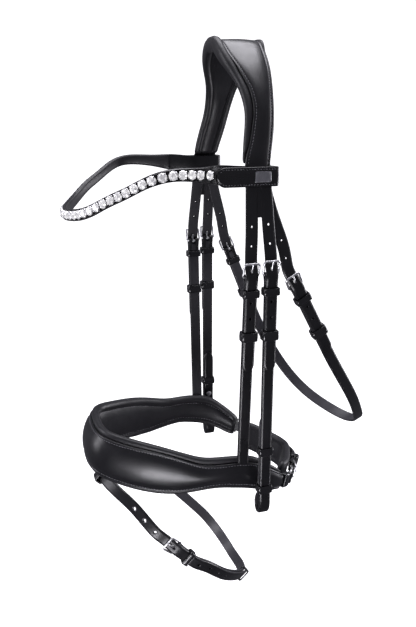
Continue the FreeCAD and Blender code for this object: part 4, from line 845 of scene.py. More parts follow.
arch = spline([(-x, z) for x, z in ARCH[::-1][:-1]] + ARCH, 170)


def arch_frame(i):
    a, b = arch[max(0, i - 1)], arch[min(len(arch) - 1, i + 1)]
    tx, tz = b[0] - a[0], b[1] - a[1]
    l = math.hypot(tx, tz)
    return Vector((arch[i][0], 0, arch[i][1])), Vector((-tz / l, 0, tx / l))  # point and outward normal


def panel_section(w):
    """Leather panel section for width w: (share across 0..1, height above the base surface), outer side then inner side."""
    e = [0.0, 0.25, 0.8, 1.7, 2.3, 2.55, 2.8, 3.4, 4.6]
    y = [-1.5, -0.55, -0.1, 0.0, -0.12, -0.34, -0.12, 0.25, 0.75]
    top = list(zip(e, y))
    mid = [(0.32 * w, 1.25), (0.5 * w, 1.45), (0.68 * w, 1.25)]
    right = [(w - a, b) for a, b in top[::-1]]
    bot = [(w - 0.3, -2.9), (w * 0.75, -3.2), (w * 0.5, -3.2), (w * 0.25, -3.2), (0.3, -2.9)]
    return top + mid + right, bot


rows = []
seam_f, seam_b = [], []
for i in range(len(arch)):
    p, nrm = arch_frame(i)
    yf, yb = lerp(FRONT, p.z), lerp(BACK, p.z)
    w = yb - yf
    top, bot = panel_section(w)
    rows.append([p + nrm * h + Vector((0, yf + y, 0)) for y, h in top + bot])
    seam_f.append((p + Vector((0, yf + 2.55, 0)), nrm))
    seam_b.append((p + Vector((0, yb - 2.55, 0)), nrm))
v, f = tube_rows(rows)
sp = Soup().add(v, f)
ob = sp.obj("headpiece_panel", [PANEL], angle=60)
done(ob, "headpiece", "panel_leather", "headpiece_leather")
th = threads("headpiece")
for seam in (seam_f, seam_b):
    P = Path([a for a, _ in seam], [b for _, b in seam])
    stitches(th, P, 0.0, -0.05, 6.0, P.length - 6.0, pitch=2.9, length=2.05)

# the leg is one piece of leather down to where the two front billets part
for s, side in ((1, "near"), (-1, "far")):
    wl = spline([(s * 81.6, -8.25, -96.0), (s * 84.1, -8.3, -110), (s * 86.3, -8.35, -122), (s * 88.7, -8.45, -135), (s * 90.3, -8.5, -143.5)], 24)
    P = Path(wl, lambda p, t, i, s=s: Vector((s, 0, 0)))
    sp = Soup()
    strap(sp, P, half=2.5, thick=1.9, crease=0.0, crown=0.0, step=2.4, wfun=lambda q, L=P.length: 0.42 + 0.58 * q / L, mats=(0, 0, 0))
    done(sp.obj(side + "_leg_web", [PANEL]), "headpiece", "panel_leather")

# padding: front roll, groove, middle, groove, rear roll
rows = []
end_in = [i for i in range(len(arch)) if arch[i][1] > -97.0]
i0, i1 = end_in[0], end_in[-1]
L0 = Path([Vector((a[0], 0, a[1])) for a in arch[i0:i1 + 1]], lambda p, t, i: Vector((0, 1, 0)))
for i in range(i0, i1 + 1):
    p, nrm = arch_frame(i)
    yf, yb = lerp(FRONT, p.z), lerp(BACK, p.z)
    pf, pb = lerp(PAD_FRONT, p.z), lerp(PAD_BACK, p.z)
    fz = min(1.0, max(0.0, (13.2 - p.z) / 110.7))
    D = 7.6 + (4.6 - 7.6) * fz ** 0.6
    s_end = min(L0.s[i - i0], L0.length - L0.s[i - i0])
    e = 0.30 + 0.70 * math.sqrt(max(0.0, 1 - (1 - min(1.0, s_end / 5.0)) ** 2))
    up = -3.6 + 4.6 * smoothstep(9, -22, p.z)  # roll's outer crest below the leather's face
    over = yf - pf
    r = min(5.2, 0.5 * (over + 5.5))
    sec = [(yf + 3.0, 3.2), (yf + 0.3, 2.9)]
    if over > 3:
        sec += [(yf - 0.35, 1.9 if up > 0 else 1.0), (yf - 1.0, up + 0.6), (yf - over * 0.45, up), (yf - over * 0.8, up + 0.9)]
    else:
        sec += [(yf - over * 0.2, 2.8), (yf - over * 0.4, 2.6), (yf - over * 0.6, 2.8), (yf - over * 0.8, 3.2)]
    dc = 3.2 + D
    sec += [(pf + 0.15, min(dc - 3.6, up + 2.6)), (pf, (up + dc) / 2), (pf + 0.5, dc - 1.6), (pf + 1.8, dc - 0.4), (pf + 3.6, dc), (pf + 5.6, dc - 0.7), (pf + 7.0, dc - 2.1), (pf + 7.6, dc - 2.7), (pf + 8.3, dc - 2.0)]
    wmid = pb - 7.0 - (pf + 8.3)
    sec += [(pf + 8.3 + wmid * 0.2, dc - 0.9), (pf + 8.3 + wmid * 0.5, dc - 0.5), (pf + 8.3 + wmid * 0.8, dc - 0.9)]
    sec += [(pb - 7.0, dc - 2.0), (pb - 6.3, dc - 2.7), (pb - 5.7, dc - 2.1), (pb - 4.4, dc - 0.7), (pb - 2.8, dc), (pb - 1.2, dc - 0.6), (pb - 0.2, dc - 2.2), (pb, 3.2 + D * 0.35 - 2.0 * smoothstep(4, 12, p.z)), (pb - 0.2, 2.6 - 4.2 * smoothstep(4, 12, p.z)), (yb + 0.1, 2.4 - 3.9 * smoothstep(4, 12, p.z)), (yb - 1.0, 3.0), (yb - 4.0, 3.2)]
    yc, dcen = (pf + pb) / 2, 3.2
    ln = []
    for y, d in sec:
        wr = 0.22 * noise.noise(Vector((p.x * 0.09, y * 0.16, p.z * 0.09)))
        y2 = yc + (y - yc) * (0.93 + 0.07 * e)
        d2 = dcen + (d - dcen) * e + wr * (1 if d > 4 else 0)
        ln.append(p - nrm * d2 + Vector((0, y2, 0)))
    rows.append(ln)
v, f = tube_rows(rows)
ob = Soup().add(v, f).obj("headpiece_padding", [NAPPA], angle=75)
done(ob, "headpiece", "padding", "headpiece_pad", padded=0.85)

# ------------------------------------------------------------------ noseband
PLAN = [(0, -144), (20, -142.5), (37, -135.5), (53, -115), (68, -86), (80, -50), (85.5, -17), (85.8, 8), (80, 40), (59, 71), (30, 87), (0, 91.5)]
TOP = smooth_table([(-150, 0.5), (-110, 0), (-85, 0.9), (-60, -1), (-40, -2.9), (-20, 0.0), (0, 3.9), (10, 4.2), (20, 2.6), (30, -0.8), (40, -5.2), (50, -9.8), (60, -15.5)])
BOT = smooth_table([(-150, -39), (-110, -41.8), (-85, -40.6), (-60, -36.4), (-40, -30), (-20, -24), (0, -22.5), (20, -23.2), (40, -27.6), (50, -30.4), (60, -32)])
PTOP = smooth_table([(-150, 6), (-110, 6.2), (-85, 6.2), (-60, 4.2), (-40, 3.2), (-20, 6.5), (0, 9.2), (12, 9.2), (24, 6.0), (36, 0.5), (48, -5.5), (60, -13)])
PBOT = smooth_table([(-150, -43), (-110, -45.5), (-85, -44.5), (-60, -40.4), (-40, -34), (-20, -28), (0, -26.5), (20, -27.2), (40, -31.2), (48, -33.0), (60, -34)])
ring = spline(PLAN + [(-x, y) for x, y in PLAN[::-1][1:-1]], 360, closed=True)
# open it at the back and order it from the near end round the front to the far end
front = [p for p in ring[:-1] if p[1] <= 58.0]
front.sort(key=lambda p: math.atan2(p[0], -(p[1] + 20)))
front = front[::-1]


def ring_frames(pts):
    out = []
    n = len(pts)
    for i in range(n):
        a, b = pts[max(0, i - 1)], pts[min(n - 1, i + 1)]
        tx, ty = b[0] - a[0], b[1] - a[1]
        l = math.hypot(tx, ty)
        nx, ny = ty / l, -tx / l
        if nx * pts[i][0] + ny * (pts[i][1] + 25) < 0:
            nx, ny = -nx, -ny
        out.append((pts[i][0], pts[i][1], nx, ny))
    return out


RF = ring_frames(front)
rows, st_top, st_bot = [], [], []
total = Path([Vector((x, y, 0)) for x, y, _, _ in RF], lambda p, t, i: Vector((0, 0, 1)))
for i, (x, y, nx, ny) in enumerate(RF):
    zt, zb = lerp(TOP, y), lerp(BOT, y)
    s = min(total.s[i], total.length - total.s[i])
    puff = 3.3 * (0.18 + 0.82 * smoothstep(22, -40, y))
    h = zt - zb
    fl = 4.4
    sec = [(zt, -3.4), (zt + 0.05, -2.2), (zt - 0.25, -1.5), (zt - 0.9, -1.2), (zt - 1.9, -1.15), (zt - 2.35, -1.5), (zt - 2.8, -1.2), (zt - 3.7, -1.0), (zt - 4.6, -0.55)]
    core = h - 9.2
    for k in range(1, 12):
        a = k / 12
        sec.append((zt - 4.6 - core * a, -0.55 + puff * (math.sin(math.pi * a) ** 0.62)))
    sec += [(zb + 4.6, -0.55), (zb + 3.7, -1.0), (zb + 2.8, -1.2), (zb + 2.35, -1.5), (zb + 1.9, -1.15), (zb + 0.9, -1.2), (zb + 0.25, -1.5), (zb - 0.05, -2.2), (zb, -3.4)]
    sec += [(zb + 0.2, -3.95), (zb + h * 0.3, -4.0), (zb + h * 0.6, -4.0), (zt - 0.2, -3.95)]
    row = []
    for z, o in sec:
        wob = 0.10 * noise.noise(Vector((x * 0.05, y * 0.05, z * 0.06))) if o > 0 else 0
        row.append(nbp(x + nx * (o + wob), y + ny * (o + wob), z))
    rows.append(row)
    o = nbd(nx, ny)
    st_top.append((nbp(x + nx * -1.3, y + ny * -1.3, zt - 2.35), o))
    st_bot.append((nbp(x + nx * -1.3, y + ny * -1.3, zb + 2.35), o))
v, f = tube_rows(rows)
ob = Soup().add(v, f).obj("noseband_panel", [PANEL], angle=60)
done(ob, "noseband", "panel_leather", "noseband_leather")
th = threads("noseband")
for seam in (st_top, st_bot):
    P = Path([a for a, _ in seam], [b for _, b in seam])
    stitches(th, P, 0.0, 0.0, 3.0, P.length - 3.0, pitch=3.0, length=2.1)

# padding inside it
inner = [p for p in ring[:-1] if p[1] <= 57.0]
inner.sort(key=lambda p: math.atan2(p[0], -(p[1] + 20)))
inner = inner[::-1]
RF2 = ring_frames(inner)
total2 = Path([Vector((x, y, 0)) for x, y, _, _ in RF2], lambda p, t, i: Vector((0, 0, 1)))
rows, pst = [], [[], []]
for i, (x, y, nx, ny) in enumerate(RF2):
    zt, zb = lerp(PTOP, y), lerp(PBOT, y)
    lt, lb = lerp(TOP, y), lerp(BOT, y)
    s = min(total2.s[i], total2.length - total2.s[i])
    e = 0.35 + 0.65 * math.sqrt(max(0.0, 1 - (1 - min(1.0, s / 6.0)) ** 2))
    rt = max(2.2, min(4.6, (zt - lt) * 0.9))
    g1 = min(9.5, (zt - zb) * 0.26)
    sec = [(lt - 3.0, -4.0), (lt + 0.1, -3.9), (lt + (zt - lt) * 0.35, -2.9), (lt + (zt - lt) * 0.72, -3.2), (zt - 0.3, -4.6), (zt, -6.4), (zt - 0.4, -8.6), (zt - 1.8, -10.6), (zt - 4.0, -11.7), (zt - 6.0, -11.4), (zt - g1 + 1.2, -10.4), (zt - g1, -9.3), (zt - g1 - 1.2, -10.2)]
    z1, z2 = zt - g1 - 1.2, zb + 8.2
    sec += [(z1 + (z2 - z1) * 0.2, -11.3), (z1 + (z2 - z1) * 0.5, -11.9), (z1 + (z2 - z1) * 0.8, -11.3), (z2, -10.2), (zb + 7.0, -9.4), (zb + 5.8, -10.3), (zb + 4.0, -11.3), (zb + 2.0, -10.9), (zb + 0.5, -9.0), (zb, -6.8), (zb + 0.4, -4.8), (lb - (lb - zb) * 0.4, -3.6), (lb - 0.1, -3.9), (lb + 3.0, -4.0)]
    row = []
    for z, o in sec:
        wr = 0.30 * noise.noise(Vector((x * 0.07, y * 0.07, z * 0.12))) + 0.16 * noise.noise(Vector((x * 0.2, y * 0.2, z * 0.25 + 7)))
        oo = -4.0 + (o + 4.0) * e - (wr if o < -5 else 0)
        zc = (zt + zb) / 2
        row.append(nbp(x + nx * oo, y + ny * oo, zc + (z - zc) * (0.94 + 0.06 * e)))
    rows.append(row)
    o = nbd(-nx, -ny)
    pst[0].append((nbp(x - nx * 9.35, y - ny * 9.35, zt - g1), o))
    pst[1].append((nbp(x - nx * 9.45, y - ny * 9.45, zb + 7.0), o))
v, f = tube_rows(rows)
ob = Soup().add(v, f).obj("noseband_padding", [NAPPA], angle=75)
done(ob, "noseband", "padding", "noseband_pad", padded=0.8)
for seam in pst:
    P = Path([a for a, _ in seam], [b for _, b in seam])
    stitches(th, P, 0.0, 0.0, 8.0, P.length - 8.0, pitch=3.4, length=2.4)

# flash loop under the front
F0, ang = Vector((0, -150, -430)), math.atan2(0.70, 0.714)
uy, uz = Vector((0, math.cos(ang), math.sin(ang))), Vector((0, -math.sin(ang), math.cos(ang)))
sp = Soup()
loop = densify(rounded_rect(-8.6, -4.15, 8.6, 4.15, 1.9, 6), 1.5)
pts = [F0 + uy * a + uz * b for a, b in loop]
h, w = 6.0, 0.95
sec = [(-w, -h + 0.35), (-w + 0.3, -h), (w - 0.45, -h), (w - 0.05, -h + 0.4), (w, -h + 1.0), (w - 0.17, -h + 1.3), (w + 0.05, -h + 1.7), (w + 0.1, 0), (w + 0.05, h - 1.7), (w - 0.17, h - 1.3), (w, h - 1.0), (w - 0.05, h - 0.4), (w - 0.45, h), (-w + 0.3, h), (-w, h - 0.35)]
rows = []
for i in range(len(pts)):
    t = (pts[(i + 1) % len(pts)] - pts[i - 1]).normalized()
    out = t.cross(Vector((1, 0, 0))).normalized()
    if out.dot(pts[i] - F0) < 0:
        out = -out
    rows.append([pts[i] + out * x + Vector((1, 0, 0)) * y for x, y in sec])
v, f = tube_rows(rows, closed_rows=True)
sp.add(v, f, 0)
tabp = [nbp(0, -144 + 5.2, -31), nbp(0, -144 + 5.2, -40), nbp(0, -144 + 4.9, -44), F0 + uz * 4.6 + uy * 1.2, F0 + uz * 4.3 - uy * 2.0]
P = Path(spline([tuple(p) for p in tabp], 20), lambda p, t, i: Vector((0, -1, 0.05)))
strap(sp, P, half=6.0, thick=1.9, crease=0.1)
done(sp.obj("flash_loop_piece", [STRAP, EDGE, BACKSIDE]), "noseband", "strap_leather", "flash_loop")

# ------------------------------------------------------------------ chin closure
sp_tab, sp_ring = Soup(), Soup()
for s in (1, -1):
    pts = spline([(s * 79.0, 37.0), (s * 75.6, 44.0), (s * 71.9, 50.5), (s * 68.2, 56.5), (s * 64.6, 63.0), (s * (RING_OUT[0] + 1.4), RING_OUT[1] - 2.2)], 24)
    P = Path([nbp(x, y, CZ) for x, y in pts], lambda p, t, i, s=s: nbd(s * 0.85, 0.5))
    strap(sp_tab, P, half=6.0, thick=2.9, crease=0.15, layers=True)
    c = nbp(s * RING_OUT[0], RING_OUT[1], CZ)
    zz = nbd(0, 0, 1)
    for k in (0,):
        sec = [(math.cos(a) * 0.78, math.sin(a) * 5.95) if False else (x, y) for x, y in rounded_rect(-0.8, -6.0, 0.8, 6.0, 0.5, 3)]
        circ = [c + nbd(math.cos(a) * 2.15, math.sin(a) * 2.15) for a in [math.tau * q / 26 for q in range(26)]]
        ring_sweep(sp_tab, circ, zz, sec)
    dx, dy = s * (RING_IN[0] - RING_OUT[0]), RING_IN[1] - RING_OUT[1]
    l = math.hypot(dx, dy)
    ax = nbd(dx / l, dy / l)
    az = ax.cross(zz).normalized()
    loop = densify(rounded_rect(0, -7.5, l, 7.5, 2.6, 8), 1.6)
    pts3 = [c + ax * x + zz * y for x, y in loop]
    rows = []
    for i in range(len(pts3)):
        t = (pts3[(i + 1) % len(pts3)] - pts3[i - 1]).normalized()
        out = t.cross(az).normalized()
        rows.append([pts3[i] + out * (math.cos(a) * 1.05) + az * (math.sin(a) * 1.02) for a in [math.tau * q / 14 for q in range(14)]])
    v, f = tube_rows(rows, closed_rows=True)
    sp_ring.add(v, f)
done(sp_tab.obj("chin_tabs_piece", LEATHERS), "noseband", "strap_leather", "chin_tabs")
done(sp_ring.obj("chin_rings_piece", [STEEL]), "noseband", "buckle_steel", "chin_rings")


class Local:
    """Station-like axes at a free place."""

    def __init__(self, h, n, u, v):
        self.h, self.n, self.u, self.v = h, n, u, v

    def __call__(self, n, u, v):
        return self.h + self.n * n + self.u * u + self.v * v


ku = nbd(RING_OUT[0] - 64.9, RING_OUT[1] - 62.3).normalized()
ko = ku.cross(nbd(0, 0, 1)).normalized()
if ko.x < 0:
    ko = -ko
KL = Local(nbp(63.9, 63.9, CZ), ko, ku.cross(ko), ku)
sp = Soup()
keeper(sp, KL, -4.5, 9.0, inner=(-2.05, 2.15), wall=1.6)
done(sp.obj("chin_tab_keeper_piece", [KEEP, EDGE]), "noseband", "strap_leather")

st = ST["chin"]
cp = [(HEEL[0] - CUP[0] * d, HEEL[1] - CUP[1] * d) for d in (1.2, 10, 20, 28)]
cp += [(-6.0, 100.9), (-16.0, 98.6), (-27.0, 93.4), (-38.0, 86.0), (-RING_IN[0], RING_IN[1])]
chin_line = spline(cp, 90)
sp = Soup()
P = Path([nbp(x, y, CZ) for x, y in chin_line], lambda p, t, i: nbd(t.cross(nbd(0, 0, 1)).x, 0) * 0 + (t.cross(nbd(0, 0, 1)) * (1 if t.cross(nbd(0, 0, 1)).y > 0 else -1)))
strap(sp, P, half=6.0, thick=3.3, s0=3.0, s1=P.length - 2.2, crease=0.2, layers=True)
chape(sp, st, "noseband")
c = nbp(-RING_IN[0], RING_IN[1], CZ)
ring_sweep(sp, [c + nbd(math.cos(a) * 2.15, math.sin(a) * 2.15) for a in [math.tau * q / 26 for q in range(26)]], nbd(0, 0, 1), rounded_rect(-0.8, -6.0, 0.8, 6.0, 0.5, 3))
done(sp.obj("chin_strap_piece", LEATHERS), "noseband", "strap_leather", "chin_strap")
th = threads("noseband")
for a in (-4.6, 4.6):
    stitches(th, P, a, 1.66, 6.0, 12.0)
    stitches(th, P, a, 1.66, P.length - 16.0, P.length - 5.0)
sp = Soup()
buckle_frame(sp, st)
done(sp.obj("chin_buckle_piece", [STEEL]), "noseband", "buckle_steel", "chin_buckle")
sp = Soup()
buckle_tongue(sp, st)
done(sp.obj("chin_tongue_piece", [STEEL]), "chin_tongue", "buckle_steel", "chin_tongue")
sp = Soup()
keeper(sp, st, -19.0, 7.0, inner=(-2.0, 4.9))
done(sp.obj("chin_keeper_piece", [KEEP, EDGE]), "noseband", "strap_leather", "chin_keepers")
lx = (RING_IN[0] - HEEL[0]) * CUP[0] + (RING_IN[1] - HEEL[1]) * CUP[1]
ln = (RING_IN[0] - HEEL[0]) * COUT[0] + (RING_IN[1] - HEEL[1]) * COUT[1]
pl = spline([(ln + 1.0, lx - 1.9), (1.5, 12.5)] + TAIL[1:], 50) + [(3.4, -20.0), (3.4, -26.0)]
P = st.path2(pl)
sp = Soup()
strap(sp, P, half=6.0, thick=2.2, crease=0.15, tip1=True, holes=[(P.near(st(3.0, 0, 6.0)), 1.05, 2.5)])
c = st(ln, 0, lx)
ring_sweep(sp, [c + st.n * (math.cos(a) * 2.1) + st.v * (math.sin(a) * 2.1) for a in [math.tau * q / 26 for q in range(26)]], st.u, rounded_rect(-0.75, -6.0, 0.75, 6.0, 0.5, 3))
done(sp.obj("chin_billet_piece", LEATHERS), "noseband", "strap_leather", "chin_billet")

j = min(range(len(chin_line)), key=lambda q: abs(chin_line[q][0] + 22.0))
tx, ty = chin_line[j + 1][0] - chin_line[j - 1][0], chin_line[j + 1][1] - chin_line[j - 1][1]
l = math.hypot(tx, ty)
ux = nbd(tx / l, ty / l)
un = nbd(0, 0, 1).cross(ux)
if un.y < 0:
    un = -un
sp = Soup()
keeper(sp, Local(nbp(chin_line[j][0], chin_line[j][1], CZ), un, ux.cross(un), ux), -4.0, 8.0, inner=(-1.85, 1.9), hu=6.5, wall=1.5)
done(sp.obj("chin_pad_loop_piece", [KEEP, EDGE]), "noseband", "strap_leather")

# chin pad: stuffed, with a raised rim and a sewn-down middle
pad_line = spline([(56.0, 62.6), (51.0, 68.8), (43.5, 75.4), (34, 81.2), (22, 86.6), (10, 92.0), (0, 94.6), (-10, 93.4), (-22, 88.2), (-34, 80.6), (-43.5, 73.6), (-51.0, 67.4), (-56.0, 61.8)], 110)
RF3 = ring_frames(pad_line)
PL3 = Path([Vector((x, y, 0)) for x, y, _, _ in RF3], lambda p, t, i: Vector((0, 0, 1)))
rows = []
pst = [[], []]
for i, (x, y, nx, ny) in enumerate(RF3):
    s = min(PL3.s[i], PL3.length - PL3.s[i])
    e = math.sqrt(max(0.02, 1 - (1 - min(1.0, s / 9.0)) ** 2))
    zt, zb = -9.0, -42.0
    zc = (zt + zb) / 2
    sec = [(zt - 8.0, -0.3), (zt - 6.5, -1.0), (zt - 5.0, -0.5), (zt - 2.4, -0.3), (zt - 0.6, -1.8), (zt, -4.0), (zt - 0.6, -6.4), (zt - 2.4, -7.8), (zt - 5.0, -8.0), (zt - 6.8, -7.2), (zt - 8.0, -7.6), (zc, -8.2),
           (zb + 8.0, -7.6), (zb + 6.8, -7.2), (zb + 5.0, -8.0), (zb + 2.4, -7.8), (zb + 0.6, -6.4), (zb, -4.0), (zb + 0.6, -1.8), (zb + 2.4, -0.3), (zb + 5.0, -0.5), (zb + 6.5, -1.0), (zb + 8.0, -0.3), (zc, -0.2)]
    row = []
    for z, o in sec:
        wr = 0.25 * noise.noise(Vector((x * 0.12, y * 0.12, z * 0.15)))
        oo = -4.0 + (o + 4.0) * (0.35 + 0.65 * e) + wr
        row.append(nbp(x + nx * oo, y + ny * oo, zc + (z - zc) * (0.55 + 0.45 * e)))
    rows.append(row)
    if s > 6:
        pst[0].append((nbp(x - nx * 0.95, y - ny * 0.95, zt - 6.5), nbd(nx, ny)))
        pst[1].append((nbp(x - nx * 0.95, y - ny * 0.95, zb + 6.5), nbd(nx, ny)))
v, f = tube_rows(rows)
done(Soup().add(v, f).obj("chin_padding", [NAPPA], angle=75), "noseband", "padding", "chin_pad", padded=0.8)
for seam in pst:
    P = Path([a for a, _ in seam], [b for _, b in seam])
    stitches(th, P, 0.0, 0.0, 0, None, pitch=3.2, length=2.2)

# ------------------------------------------------------------------ throatlash
near_line = [ST["near_throat"](0, 0, v) for v in (-1.2, -20, -40, -60, -76, -90)]
far_line = [ST["far_throat"](0, 0, v) for v in (-90, -76, -60, -40, -20, -1.2)]
MIDT = [(66, 99, -323), (47, 124, -357), (28, 142, -383), (14, 152, -398), (2, 156, -406), (-10, 155.5, -410.5), (-24, 150, -411), (-42, 138, -405.5), (-60, 121, -393), (-76, 101, -370), (-87, 80, -336)]
tp = spline([tuple(p) for p in near_line] + MIDT + [tuple(p) for p in far_line], 240)
wn, wf, wm = ST["near_throat"].u, -ST["far_throat"].u, Vector((0.1, 0.86, 0.51))


def wdir(i, n):
    f = i / (n - 1)
    if f < 0.5:
        return wn.lerp(wm, max(0.0, (f - 0.17) / 0.33))
    return wm.lerp(wf, min(1.0, (f - 0.5) / 0.33))


outs = []
for i in range(len(tp)):
    t = (Vector(tp[min(len(tp) - 1, i + 1)]) - Vector(tp[max(0, i - 1)])).normalized()
    w = wdir(i, len(tp))
    o = t.cross(w - t * w.dot(t)).normalized()
    if o.dot(Vector(tp[i]) - Vector((0, 40, -290))) < 0:
        o = -o
    outs.append(o)
P = Path(tp, outs)
sp = Soup()
strap(sp, P, half=6.0, thick=3.3, s0=2.2, s1=P.length - 2.2, crease=0.2, layers=True, step=3.0)
for key in ("near_throat", "far_throat"):
    chape(sp, ST[key], "throatlash")
# the lighter lining copy here is painted light on the throat strap's back side
done(sp.obj("throat_strap_piece", [STRAP, EDGE, LIT_LINING]), "throatlash", "strap_leather", "throat_strap")
th = threads("throatlash")
for a in (-4.6, 4.6):
    for s0, s1 in ((4.5, 9.5), (18.5, 22.5)):
        stitches(th, P, a, 1.66, s0, s1)
        stitches(th, P, a, 1.66, P.length - s1, P.length - s0)

# ------------------------------------------------------------------ flash strap
FS = ST["flash"]
FL_LOW = [tuple(FS(0, 0, v)) for v in (-1.2, -12, -24)]
FLASH = FL_LOW + [(75.5, -57, -512.5), (66, -34, -534.8), (48, -11, -555.3), (26, 3.5, -571), (0, 11.5, -584), (-22, 15.5, -593.5), (-44, 15.5, -596.5), (-62, 11.5, -590.5), (-74, 3, -577.5), (-79.5, -10, -559), (-79.5, -27, -538.5), (-74, -53, -507.5), (-65, -85, -478), (-52, -113, -456), (-36, -134.5, -441.5), (-18, -146.5, -432.5), (0, -150, -430), (18, -146.5, -431.5), (36, -136.5, -437.5), (52, -123, -449)]
FL_HIGH = [tuple(FS(n, 0, v)) for n, v in ((0.1, 27), (0.4, 18), (1.5, 11), (3.2, 5.5), (4.6, 1.2), (4.75, -1.2), (4.2, -5.5), (3.7, -11))]
fbase = spline(FLASH[::-1], 150)[::-1]


def fwidth(p):
    f = min(1.0, max(0.0, (p[0] - 40) / 30.0))
    return Vector((0, 0.714, 0.70)).lerp(FS.u, f)


tail_pts, L, i = [], 0.0, 0
while L < 137.0:
    i += 1
    L += math.dist(fbase[i], fbase[i - 1])
    if L > 14.0:
        t = (Vector(fbase[i + 1]) - Vector(fbase[i - 1])).normalized()
        w = fwidth(fbase[i])
        w = (w - t * w.dot(t)).normalized()
        o = t.cross(w)
        if o.dot(Vector((1, 0, 0)) if fbase[i][0] > 30 else Vector((0.5, 0.5, -0.7))) < 0:
            o = -o
        tail_pts.append(tuple(Vector(fbase[i]) + o * 3.4))
tail_pts = tail_pts[::-1]
strip = spline(tail_pts[::3] + FL_HIGH[::-1] + [FLASH[-1]] + FLASH[::-1][1:], 420)
outs = []
prev = None
for i in range(len(strip)):
    t = (Vector(strip[min(len(strip) - 1, i + 1)]) - Vector(strip[max(0, i - 1)])).normalized()
    w = fwidth(strip[i])
    o = t.cross(w - t * w.dot(t)).normalized()
    if prev is None:
        if o.dot(Vector(strip[i]) - Vector((0, -70, -515))) < 0:
            o = -o
    elif o.dot(prev) < 0:
        o = -o
    prev = o
    outs.append(o)
P = Path(strip, outs)
sp = Soup()
s_cross = P.near(FS(3.0, 0, 6.0))
holes = [(s_cross, 1.05, 2.5)]
for v in (31, 47, 63):
    holes.append((s_cross + v - 6.0, 1.4, 1.4))
for k in range(4):
    holes.append((s_cross - 36.0 - 15.5 * k, 1.4, 1.4))
strap(sp, P, half=6.0, thick=2.6, s0=0.0, s1=P.length - 2.2, crease=0.18, tip0=True, holes=holes, step=2.8)
chape(sp, FS, "flash")
# the lighter lining copy here is painted light on the flash strap's back side
done(sp.obj("flash_strap_piece", [STRAP, EDGE, LIT_LINING]), "flash", "strap_leather", "flash_strap")
sp = Soup()
buckle_frame(sp, FS)
done(sp.obj("flash_buckle_piece", [STEEL]), "flash", "buckle_steel", "flash_buckle")
sp = Soup()
buckle_tongue(sp, FS)
done(sp.obj("flash_tongue_piece", [STEEL]), "flash_tongue", "buckle_steel", "flash_tongue")
sp = Soup()
keeper(sp, FS, -19.5, 7.0, inner=(-1.4, 5.4))
done(sp.obj("flash_fixed_keeper_piece", [KEEP, EDGE]), "flash", "strap_leather", "flash_fixed_keeper")
acc = [0.0]
for i in range(1, len(fbase)):
    acc.append(acc[-1] + math.dist(fbase[i], fbase[i - 1]))
ek = min(range(len(fbase)), key=lambda q: abs(acc[q] - 128.0))
e_up = (Vector(fbase[ek - 1]) - Vector(fbase[ek + 1])).normalized()
e_w = fwidth(fbase[ek])
e_w = (e_w - e_up * e_w.dot(e_up)).normalized()
e_out = e_up.cross(e_w)
if e_out.dot(Vector((0.5, 0.5, -0.7))) < 0:
    e_out = -e_out
sp = Soup()
keeper(sp, Local(Vector(fbase[ek]), e_out, e_up.cross(e_out), e_up), -4.0, 8.0, inner=(-1.75, 5.35), wall=1.5, hu=6.2)
done(sp.obj("flash_end_keeper_piece", [KEEP, EDGE]), "flash_end_keeper", "strap_leather", "flash_end_keeper")
FLASH_EYES = (P, holes)

# turned rims round the flash strap's holes
sp = Soup()
for hs, hu, hl in holes[1:4]:
    p, t, o = P.at(hs)
    w = t.cross(o)
    for sd in (1, -1):
        prof = [(1.35, 0.9), (1.42, 1.38), (1.75, 1.62), (2.2, 1.52), (2.35, 1.30), (2.2, 1.1)]
        rows = [[p + (w * math.cos(a) + t * math.sin(a)) * r + o * (z * sd) for r, z in prof] for a in [math.tau * k / 24 for k in range(24)]]
        v, f = tube_rows(rows, closed_rows=True)
        sp.add(v, f)
done(sp.obj("flash_eyelets", [DARKSTEEL]), "flash", "buckle_steel")

# ------------------------------------------------------------------ browband
BROW = [(84.5, 8.55), (79.6, 8.2), (76.6, 6.6), (75.6, 3.0), (75.6, -8), (75.7, -20), (77.2, -30.5), (80.6, -40.5), (84.9, -49), (90.0, -58), (95.6, -72), (99.4, -88), (99.6, -102), (91.3, -117), (78.5, -133), (63.8, -147.8), (45.0, -160.3), (23.0, -169.0), (0, -172.8)]
brow = spline(BROW + [(-x, y) for x, y in BROW[::-1][1:]], 420)
MIDZ = smooth_table([(-181, -146.6), (-176, -145.8), (-166, -142.7), (-155, -136.3), (-143, -127.5), (-128, -118.6), (-111, -108.4), (-94, -103.4), (-72, -103.6), (-48, -105.5), (-20, -107.2), (13, -107.5)])
HALFZ = smooth_table([(-181, 5.75), (-75, 5.9), (-60, 7.0), (-46, 8.75), (-30, 8.75), (13, 8.75)])
mid_i = len(brow) // 2
bl = [0.0]
for i in range(1, len(brow)):
    bl.append(bl[-1] + math.hypot(math.dist(brow[i], brow[i - 1]), lerp(MIDZ, brow[i][1]) - lerp(MIDZ, brow[i - 1][1])))


def brow_frame(i):
    a, b = brow[max(0, i - 1)], brow[min(len(brow) - 1, i + 1)]
    tx, ty = b[0] - a[0], b[1] - a[1]
    l = math.hypot(tx, ty)
    nx, ny = ty / l, -tx / l
    if i < mid_i * 0.25 or i > mid_i * 1.75:
        pass
    return nx, ny


